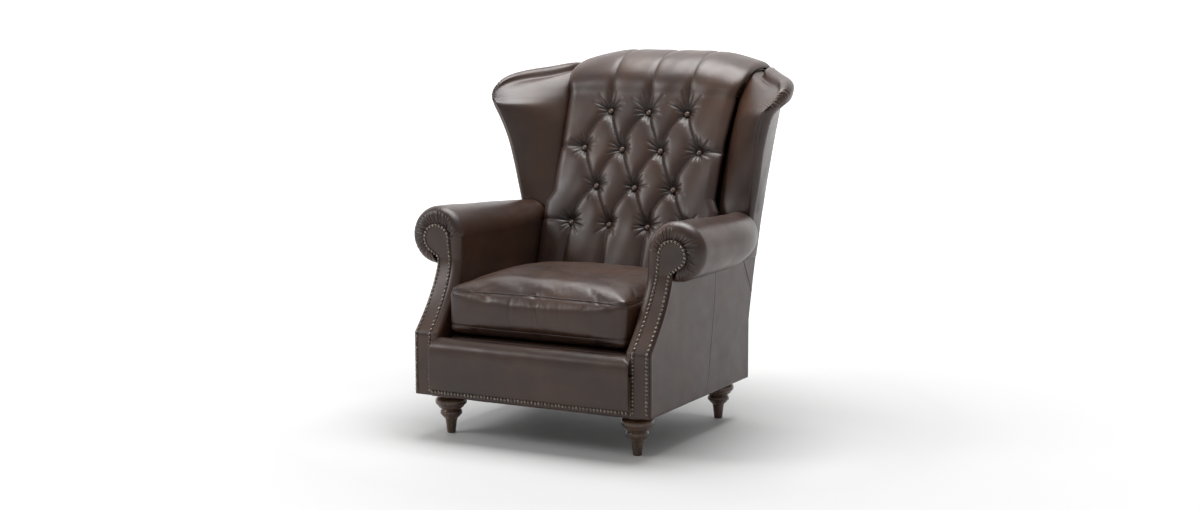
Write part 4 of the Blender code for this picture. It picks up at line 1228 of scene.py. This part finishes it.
# %% Outside back
def make_outside_back():
    z = steps(BASE_LOW + 0.0005, ROLL_Z + 0.006, 0.0045)
    x = steps(-OUTSIDE + 0.0008, OUTSIDE - 0.0008, 0.0045)
    x, z = np.meshgrid(x, z)
    y = rear_line(z) - 0.0012
    foot = z - BASE_LOW
    swell = 0.0035 * np.cos(math.pi * x / (2 * OUTSIDE)) * ease(0, 0.08, foot)
    y = y + swell - 0.006 * quarter_round(OUTSIDE - 0.0008 - np.abs(x), 0.009)
    y = y - 0.004 * quarter_round(foot, 0.006)
    side_seam = np.abs(x) - (OUTSIDE - 0.018)
    y = y + seam_groove(side_seam, 0.0012) + 0.0006 * ripple(x, z, 0.25)
    # painted shade along the side seams
    crease_shade = 0.7 * bell(side_seam, 0.002)
    points = np.stack([x, y, z], 2)
    return close_skin("outside_back_leather", points, SKIN, crease_shade)


upholster(make_outside_back(), "outside_back", fill=0.3)


# %% [markdown]
# ## Steel, lining and foam
#
# The springs are drawn steel, a little dull and uneven. The lining under the seat is a black woven
# cloth. The cushion's foam has an open face, which the same weave gives with wider threads.

# %% Steel, lining and foam
def steel():
    """Drawn steel wire, dull in places."""
    material, tree, shader = new_material("drawn_steel")
    color = mix_colors(tree, mottled(tree, 60.0), (0.16, 0.15, 0.15, 1), (0.42, 0.42, 0.43, 1))
    tree.links.new(color, shader.inputs["Base Color"])
    shader.inputs["Metallic"].default_value = 1.0
    shader.inputs["Roughness"].default_value = 0.38
    return material


def woven(name, first, second, threads, rough):
    """A cloth or an open foam, its threads in two tones."""
    material, tree, shader = new_material(name)
    weave = add(tree, "ShaderNodeGroup", [("Threads", threads)], node_tree=WEAVE).outputs["Mask"]
    color = mix_colors(tree, weave, (*first, 1), (*second, 1))
    tree.links.new(color, shader.inputs["Base Color"])
    shader.inputs["Roughness"].default_value = rough
    add_bump(tree, shader, weave, 0.0002, 0.5)
    return material


STEEL = steel()
LINING = woven("black_lining", (0.006, 0.006, 0.006), (0.035, 0.035, 0.036), 260.0, 0.9)
FOAM = woven("cut_foam", (0.62, 0.55, 0.36), (0.78, 0.71, 0.48), 90.0, 0.95)
print("steel, lining and foam made")


# %% [markdown]
# ## The loose cushion
#
# A boxed cushion is two panels and a band sewn into a case and stuffed until it swells. Cloth
# simulation makes that swelling: a slightly small block is remeshed evenly, blown up by pressure
# with gravity off, and held to the room that its solid has. The seams come afterwards, as a valley
# in the leather and a fine raised cord where the edges are sewn, because a remesh would erase them.

# %% Blow up the cushion
SEAM_TOP = 0.040  # seams in from the cushion's top and bottom, at its edge
SEAM_LOW = 0.030


def cushion_blank():
    """The block before it is blown up: drawn in all round, with rounded edges and a raked rear."""
    low, high = CUSHION_LOW, CUSHION_HIGH
    drawn = 0.009  # how far in from its room it starts
    half = high.x - drawn
    front, rear = low.y + drawn, high.y - drawn - 0.004
    foot, top = low.z + 0.010, high.z - 0.030
    shape = bmesh.new()
    bmesh.ops.create_cube(shape, size=1.0)
    for vert in shape.verts:
        x, y, z = vert.co
        lean = 0.026 if (y > 0 and z < 0) else 0.0
        vert.co = (
            2 * half * x,
            front + (rear - front) * (y + 0.5) - lean,
            foot + (top - foot) * (z + 0.5),
        )
    bmesh.ops.bevel(shape, geom=shape.edges[:], offset=0.022, segments=4, profile=0.6, affect="EDGES")
    mesh = bpy.data.meshes.new("seat_cushion_leather")
    shape.to_mesh(mesh)
    shape.free()
    obj = add_object("seat_cushion_leather", mesh)
    remesh = obj.modifiers.new("even mesh", "REMESH")
    remesh.mode = "VOXEL"
    remesh.voxel_size = 0.006
    return freeze(obj)


def blow_up(obj, pressure, frames=20, cap=0.020):
    """Runs the cloth, keeps each point within cap of its start, and applies the result."""
    start = points_of(obj)
    cloth = obj.modifiers.new("swelling", "CLOTH")
    cloth.settings.use_pressure = True
    cloth.settings.uniform_pressure_force = pressure
    cloth.settings.mass = 0.3
    cloth.settings.tension_stiffness = 25
    cloth.settings.compression_stiffness = 25
    cloth.settings.bending_stiffness = 1.5
    cloth.settings.effector_weights.gravity = 0
    cloth.settings.quality = 6
    cloth.collision_settings.use_collision = False
    scene = bpy.context.scene
    for number in range(1, frames + 1):
        scene.frame_set(number)
    freeze(obj)
    moved = points_of(obj) - start
    far = np.linalg.norm(moved, axis=1, keepdims=True)
    set_points(obj, start + moved * np.minimum(1, cap / np.maximum(far, 1e-9)))
    scene.frame_set(1)
    print("cushion swelled by up to", round(float(far.max()) * 1000), "mm")


def seam_height(x, which):
    """Height of a seam: lowest at the front's middle, a little higher at the corners."""
    low, high = CUSHION_LOW, CUSHION_HIGH
    corner = (np.abs(x) / high.x) ** 4
    if which == "top":
        return high.z - SEAM_TOP - 0.004 * corner
    return low.z + SEAM_LOW + 0.006 * corner


def held(value, edge, soft):
    """The value, eased to a stop where it would pass the edge."""
    over = np.maximum(0, value - (edge - soft))
    return np.minimum(value, edge - soft) + soft * (1 - np.exp(-over / soft)) * (over > 0)


def fit_to_room(obj):
    """Keeps the swollen case between the arms, the back and the deck, and crowns its top."""
    low, high = CUSHION_LOW, CUSHION_HIGH
    x, y, z = points_of(obj).T.copy()
    x = np.sign(x) * held(np.abs(x), high.x - 0.0012, 0.010)
    y = -held(-y, -low.y - 0.0004, 0.006)
    rear = high.y - 0.028 + 0.028 * (z - low.z) / (high.z - low.z)
    y = np.where(y > -0.1, held(y, rear - 0.002, 0.008), y)
    z = -held(-z, -low.z - 0.0012, 0.004)
    middle = (low.y + high.y) / 2
    inner = 1 - np.maximum(np.abs(x) / high.x, np.abs(y - middle) / ((high.y - low.y) / 2))
    z = z + 0.012 * ease(0.0, 0.40, inner) * ease(low.z + 0.10, high.z - 0.02, z)
    set_points(obj, np.stack([x, y, z], 1))
    co = points_of(obj)
    print("cushion", np.round(co.min(0), 3).tolist(), np.round(co.max(0), 3).tolist())


def tailor_cushion(obj):
    """Sinks the seams into the case, adds stress folds, and paints shade in both."""
    low = CUSHION_LOW
    subdivide(obj, 1)
    co = points_of(obj)
    normal = normals_of(obj)
    x, y, z = co.T
    beside = ease(0.9, 0.5, np.abs(normal[:, 2]))
    away_top = z - seam_height(x, "top")
    away_low = z - seam_height(x, "low")
    groove = -0.0022 * bell(away_top, 0.0045) - 0.0020 * bell(away_low, 0.0045)
    groove -= 0.0012 * bell(away_top - 0.006, 0.010)
    front = ease(low.y + 0.05, low.y + 0.01, y)
    folds = np.zeros(len(x))
    for _ in range(9):
        at = RANDOM.uniform(-0.10, 0.08)
        lean = RANDOM.uniform(-0.25, 0.25)
        middle = RANDOM.uniform(0.36, 0.385)
        tall = RANDOM.uniform(0.014, 0.034)
        line = bell(x - at - lean * (z - middle), 0.0032) * bell(z - middle, tall)
        folds -= RANDOM.uniform(0.4, 0.9) * 0.0010 * line
    for _ in range(26):
        at = RANDOM.uniform(-0.26, 0.26)
        line = bell(x - at, 0.004) * bell(np.abs(away_top) - 0.006, 0.016)
        folds -= RANDOM.uniform(0.2, 0.8) * 0.0006 * line * front
    soft = 0.0016 * ripple(x, y, 0.22) + 0.0007 * ripple(x, y + z, 0.08)
    height = (groove * beside) + folds * front + soft
    set_points(obj, co + normal * height[:, None])
    # painted shade in the seam grooves and the stress folds
    crease_shade = beside * (0.8 * bell(away_top, 0.0026) + 0.5 * bell(away_low, 0.0024))
    set_attribute(obj, "crease_shade", np.clip(crease_shade + 120 * -folds * front, 0, 1))
    return obj


def normals_of(obj):
    out = np.empty(len(obj.data.vertices) * 3)
    obj.data.vertex_normals.foreach_get("vector", out)
    return out.reshape(-1, 3)


def subdivide(obj, levels):
    step = obj.modifiers.new("finer", "SUBSURF")
    step.levels = step.render_levels = levels
    freeze(obj)


def make_filling(cushion):
    """The foam: the case's own shape, a few millimetres inside it."""
    co = points_of(cushion) - 0.009 * normals_of(cushion)
    filling = add_object("seat_cushion_filling", cushion.data.copy())
    set_points(filling, co)
    filling.data.shade_smooth()
    dress(filling, "cushion", "foam", FOAM, "seat_cushion_foam")


def make_cushion():
    obj = cushion_blank()
    blow_up(obj, pressure=1.1)
    fit_to_room(obj)
    make_filling(obj)
    tailor_cushion(obj)
    obj.data.shade_smooth()
    return upholster(obj, "seat_cushion_cover", body="cushion", fill=0.85)


CUSHION = make_cushion()


# %% Seam cords
def tube(name, path, radius, sides=8):
    """A thin round cord along a closed path of points, as a mesh."""
    path = np.asarray(path, float)
    n = len(path)
    ahead = np.roll(path, -1, 0) - np.roll(path, 1, 0)
    ahead /= np.linalg.norm(ahead, axis=1, keepdims=True)
    up = np.array([0.0, 0.0, 1.0])
    side_way = np.cross(ahead, up)
    side_way /= np.linalg.norm(side_way, axis=1, keepdims=True)
    over = np.cross(side_way, ahead)
    turns = np.linspace(0, 2 * math.pi, sides, endpoint=False)
    rings = path[:, None] + radius * (
        side_way[:, None] * np.cos(turns)[None, :, None] + over[:, None] * np.sin(turns)[None, :, None]
    )
    faces = []
    for i in range(n):
        j = (i + 1) % n
        for k in range(sides):
            m = (k + 1) % sides
            faces.append((i * sides + k, i * sides + m, j * sides + m, j * sides + k))
    return add_mesh(name, rings.reshape(-1, 3), faces)


def seam_cord(which):
    """The raised sewn edge: a cord laid on the cushion where the seam runs round it."""
    graph = bpy.context.evaluated_depsgraph_get()
    tree = BVHTree.FromObject(CUSHION, graph)
    low, high = CUSHION_LOW, CUSHION_HIGH
    middle = Vector((0, (low.y + high.y) / 2, 0))
    path = []
    for angle in np.linspace(0, 2 * math.pi, 420, endpoint=False):
        way = Vector((math.cos(angle), math.sin(angle) * 0.85, 0)).normalized()
        start = middle + way * 0.6
        for _ in range(2):
            z = float(seam_height(start.x, which))
            hit = tree.ray_cast(middle + Vector((0, 0, z)) + way * 0.6, -way)[0]
            start = hit or start
        path.append(tuple(start))
    path = np.array(path)
    path = np.mean([np.roll(path, shift, 0) for shift in range(-4, 5)], 0)
    cord = tube(f"seat_cushion_seam_{which}", path, 0.0016)
    set_attribute(cord, "crease_shade", np.zeros(len(cord.data.vertices)))
    dress(cord, "cushion", "leather", LEATHER, "seat_cushion_cover")
    print(cord.name, len(path), "places round the cushion")


for which in ("top", "low"):
    seam_cord(which)


# %% [markdown]
# ## Cover buttons
#
# A cover button is a small mushroom of hide pulled over a mould: a low dome with the leather drawn
# tight at its rim. It sits at the bottom of its pocket, turned to face out of the panel.

# %% Buttons
BUTTON_PROFILE = [
    (0.0, 0.0062), (0.0030, 0.0059), (0.0058, 0.0049), (0.0078, 0.0031), (0.0088, 0.0008),
    (0.0086, -0.0012), (0.0074, -0.0026), (0.0, -0.0030),
]


def make_button(name):
    low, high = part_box(name)
    middle = (low + high) / 2
    slope = float((rear_line(middle.z + 0.01) - rear_line(middle.z - 0.01)) / 0.02)
    way = Vector((0.0, -1.0, slope)).normalized()
    turn = np.array(way.to_track_quat("Z", "Y").to_matrix())
    profile = spline(BUTTON_PROFILE, np.linspace(0, len(BUTTON_PROFILE) - 1, 22))
    profile[0, 0] = profile[-1, 0] = 0.0
    sides = 28
    points, faces = [(0, 0, profile[0, 1])], []
    for radius, height in profile[1:-1]:
        for k in range(sides):
            angle = 2 * math.pi * k / sides
            pulled = radius * (1 + 0.012 * math.sin(angle * 7) * (radius / 0.0088))
            points.append((pulled * math.cos(angle), pulled * math.sin(angle), height))
    points.append((0, 0, profile[-1, 1]))
    rings = len(profile) - 2
    for k in range(sides):
        m = (k + 1) % sides
        faces.append((0, 1 + k, 1 + m))
        for ring in range(rings - 1):
            a = 1 + ring * sides
            faces.append((a + k, a + sides + k, a + sides + m, a + m))
        faces.append((1 + (rings - 1) * sides + k, len(points) - 1, 1 + (rings - 1) * sides + m))
    obj = add_mesh(f"{name}_cover", np.array(points) @ turn.T + np.array(middle), faces)
    set_attribute(obj, "crease_shade", np.zeros(len(points)))
    dress(obj, "chair", "button_leather", BUTTON_LEATHER_PAINTED_HIGHLIGHT, name)


for button_name in BUTTON_NAMES:
    make_button(button_name)
print(len(BUTTON_NAMES), "cover buttons")


# %% [markdown]
# ## Turned legs
#
# The legs are lathe work: a collar, a ring, a waist and a taper. Each is one smooth profile spun
# round its axis. The walnut is stained, so its grain runs down the leg and darkens in the grooves.

# %% Wood finishes
def wood(name, dark, light, rough, rings, coat):
    """Wood whose streaks run up Z, with a slow unevenness of its stain over them."""
    material, tree, shader = new_material(name)
    grain = add(tree, "ShaderNodeGroup", [("Scale", rings)], node_tree=WOOD_GRAIN)
    color = mix_colors(tree, grain.outputs["Lines"], (*dark, 1), (*light, 1))
    tones = [("Value", mottled(tree, 24.0)), ("To Min", 0.75), ("To Max", 1.1)]
    shade = add(tree, "ShaderNodeMapRange", tones).outputs["Result"]
    toned = add(tree, "ShaderNodeVectorMath", [(0, color), (3, shade)], operation="SCALE")
    tree.links.new(toned.outputs["Vector"], shader.inputs["Base Color"])
    shader.inputs["Roughness"].default_value = rough
    shader.inputs["Coat Weight"].default_value = coat
    shader.inputs["Coat Roughness"].default_value = 0.2
    add_bump(tree, shader, grain.outputs["Height"], 0.0003, 0.3)
    return material


WALNUT = wood("stained_walnut", (0.030, 0.0145, 0.0085), (0.120, 0.058, 0.030), 0.30, 130.0, 0.4)
BEECH = wood("sawn_beech", (0.32, 0.20, 0.11), (0.52, 0.36, 0.22), 0.65, 60.0, 0.0)
print("walnut and beech made")


# %% Legs
LEG_PROFILE = [
    (0.0300, 0.1174), (0.0310, 0.1130), (0.0310, 0.1060), (0.0335, 0.1036), (0.0400, 0.1022),
    (0.0438, 0.0985), (0.0450, 0.0925), (0.0440, 0.0865), (0.0405, 0.0822), (0.0372, 0.0800),
    (0.0366, 0.0772), (0.0340, 0.0742), (0.0296, 0.0718), (0.0280, 0.0694), (0.0296, 0.0668),
    (0.0312, 0.0630), (0.0312, 0.0580), (0.0296, 0.0540), (0.0262, 0.0516), (0.0256, 0.0492),
    (0.0222, 0.0462), (0.0182, 0.0420), (0.0164, 0.0370), (0.0152, 0.0290), (0.0140, 0.0180),
    (0.0128, 0.0080), (0.0124, 0.0022), (0.0112, 0.0003),
]


def make_leg(node):
    low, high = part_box(node)
    line = spline(LEG_PROFILE, np.linspace(0, len(LEG_PROFILE) - 1, 110))
    sides = 56
    turns = np.linspace(0, 2 * math.pi, sides, endpoint=False)
    radius, height = line[:, :1], np.repeat(line[:, 1:], sides, 1)
    rings = np.stack([radius * np.cos(turns), radius * np.sin(turns), height], 2)
    number = np.arange(len(line) * sides).reshape(len(line), sides)
    after = np.roll(number, -1, 1)
    faces = np.stack([number[:-1], number[1:], after[1:], after[:-1]], 2).reshape(-1, 4).tolist()
    faces += [number[0, :].tolist(), number[-1, ::-1].tolist()]
    place = np.array([(low.x + high.x) / 2, (low.y + high.y) / 2, low.z])
    obj = add_mesh(f"turned_{node}", rings.reshape(-1, 3) + place, faces)
    flip_faces(obj)
    obj.data.set_sharp_from_angle(angle=math.radians(60))
    obj.data.shade_smooth()
    dress(obj, "chair", "leg_wood", WALNUT, node)
    print(obj.name, len(obj.data.vertices), "points")


for node_name in NODES:
    if node_name.startswith("leg_"):
        make_leg(node_name)


# %% [markdown]
# ## What stays as it is
#
# The frame, springs and dust cover keep their own shapes: sawn beech, drawn steel and black woven
# lining. The seat deck is a plain padded platform under the cushion, covered in the same hide.

# %% Seat deck
def make_deck():
    low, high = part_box("seat_deck")
    x = steps(low.x + 0.0006, high.x - 0.0006, 0.006)
    y = steps(low.y + 0.0006, high.y - 0.0006, 0.006)
    x, y = np.meshgrid(x, y)
    side = np.minimum(np.minimum(x - low.x, high.x - x), np.minimum(y - low.y, high.y - y))
    inside = np.clip(1 - side / 0.016, 0, 1)
    z = high.z - 0.0012 - 0.030 * quarter_round(side, 0.016) + 0.0004 * ripple(x, y, 0.2)
    points = np.stack([x, y, z], 2)
    # painted shade where the deck rounds down at its edges
    deck = close_skin("seat_deck_leather", points[:, ::-1], 0.004, 0.3 * inside[:, ::-1])
    return upholster(deck, "seat_deck", fill=0.5)


make_deck()


# %% Finishes for the frame
def finish_node(name):
    if "spring" in name:
        return STEEL
    if name == "dust_cover":
        return LINING
    return BEECH


SLOTS = {part["node"]: part["material_slot"] for part in frame["record"]["subparts"]}
KEPT = [name for name, slot in SLOTS.items() if slot in ("frame_wood", "spring_steel", "lining")]
for name in KEPT:
    NODES[name].data.materials.clear()
    NODES[name].data.materials.append(finish_node(name))
print(len(KEPT), "frame pieces keep their own shape")


# %% Floor and light
def make_floor():
    """A sheet that runs back from the camera's side of the chair and curves up into a wall."""
    turn = math.radians(CAMERA_TURN)
    flat, bend, wall = 6.0, 3.0, 12.0
    run = [(-9.0, 0.0), (flat, 0.0)]
    for i in range(1, 13):
        angle = math.radians(90 * i / 12)
        run.append((flat + bend * math.sin(angle), bend - bend * math.cos(angle)))
    run.append((flat + bend, wall))
    points = []
    for x in (-14.0, 14.0):
        for d, z in run:
            across = x * math.cos(turn) - d * math.sin(turn)
            points.append((across, x * math.sin(turn) + d * math.cos(turn), z))
    n = len(run)
    floor = add_mesh("floor", points, [(i, i + 1, n + i + 1, n + i) for i in range(n - 1)])
    material, tree, shader = new_material("pale_paper")
    shader.inputs["Base Color"].default_value = (0.64, 0.64, 0.64, 1)
    shader.inputs["Roughness"].default_value = 0.7
    # the sweep glows with distance, as a lit backdrop does, and not near the chair
    place = add(tree, "ShaderNodeTexCoord")
    far = add(tree, "ShaderNodeVectorMath", [(0, place.outputs["Object"])], operation="LENGTH")
    reach = [("Value", far.outputs["Value"]), ("From Min", 1.0), ("From Max", 4.5)]
    lit = add(tree, "ShaderNodeMapRange", reach)
    glow = mix_colors(tree, lit.outputs["Result"], (0.0, 0.0, 0.0, 1), (1, 1, 1, 1))
    tree.links.new(glow, shader.inputs["Emission Color"])
    shader.inputs["Emission Strength"].default_value = 0.85
    floor.data.materials.append(material)


def softbox(name, place, target, size, power):
    """A soft rectangular lamp, turned to its target."""
    data = bpy.data.lights.new(name, "AREA")
    data.shape = "RECTANGLE"
    data.size, data.size_y = size
    data.energy = power
    obj = bpy.data.objects.new(name, data)
    obj.location = place
    obj.rotation_euler = (Vector(target) - Vector(place)).to_track_quat("-Z", "Y").to_euler()
    bpy.context.scene.collection.objects.link(obj)


make_floor()
softbox("overhead", (0.0, 0.5, 3.4), (0, 0, 0.2), (2.6, 2.0), 140)
softbox("key", (-2.8, -2.4, 2.5), (0, 0, 0.6), (1.4, 1.4), 50)
world = bpy.data.worlds.new("studio")
bpy.context.scene.world = world
world.use_nodes = True
sky = world.node_tree.nodes["Background"]
sky.inputs["Color"].default_value = (1, 1, 1, 1)
sky.inputs["Strength"].default_value = 0.34
bpy.context.scene.view_settings.view_transform = "Standard"
print("floor, two softboxes and the world's light")
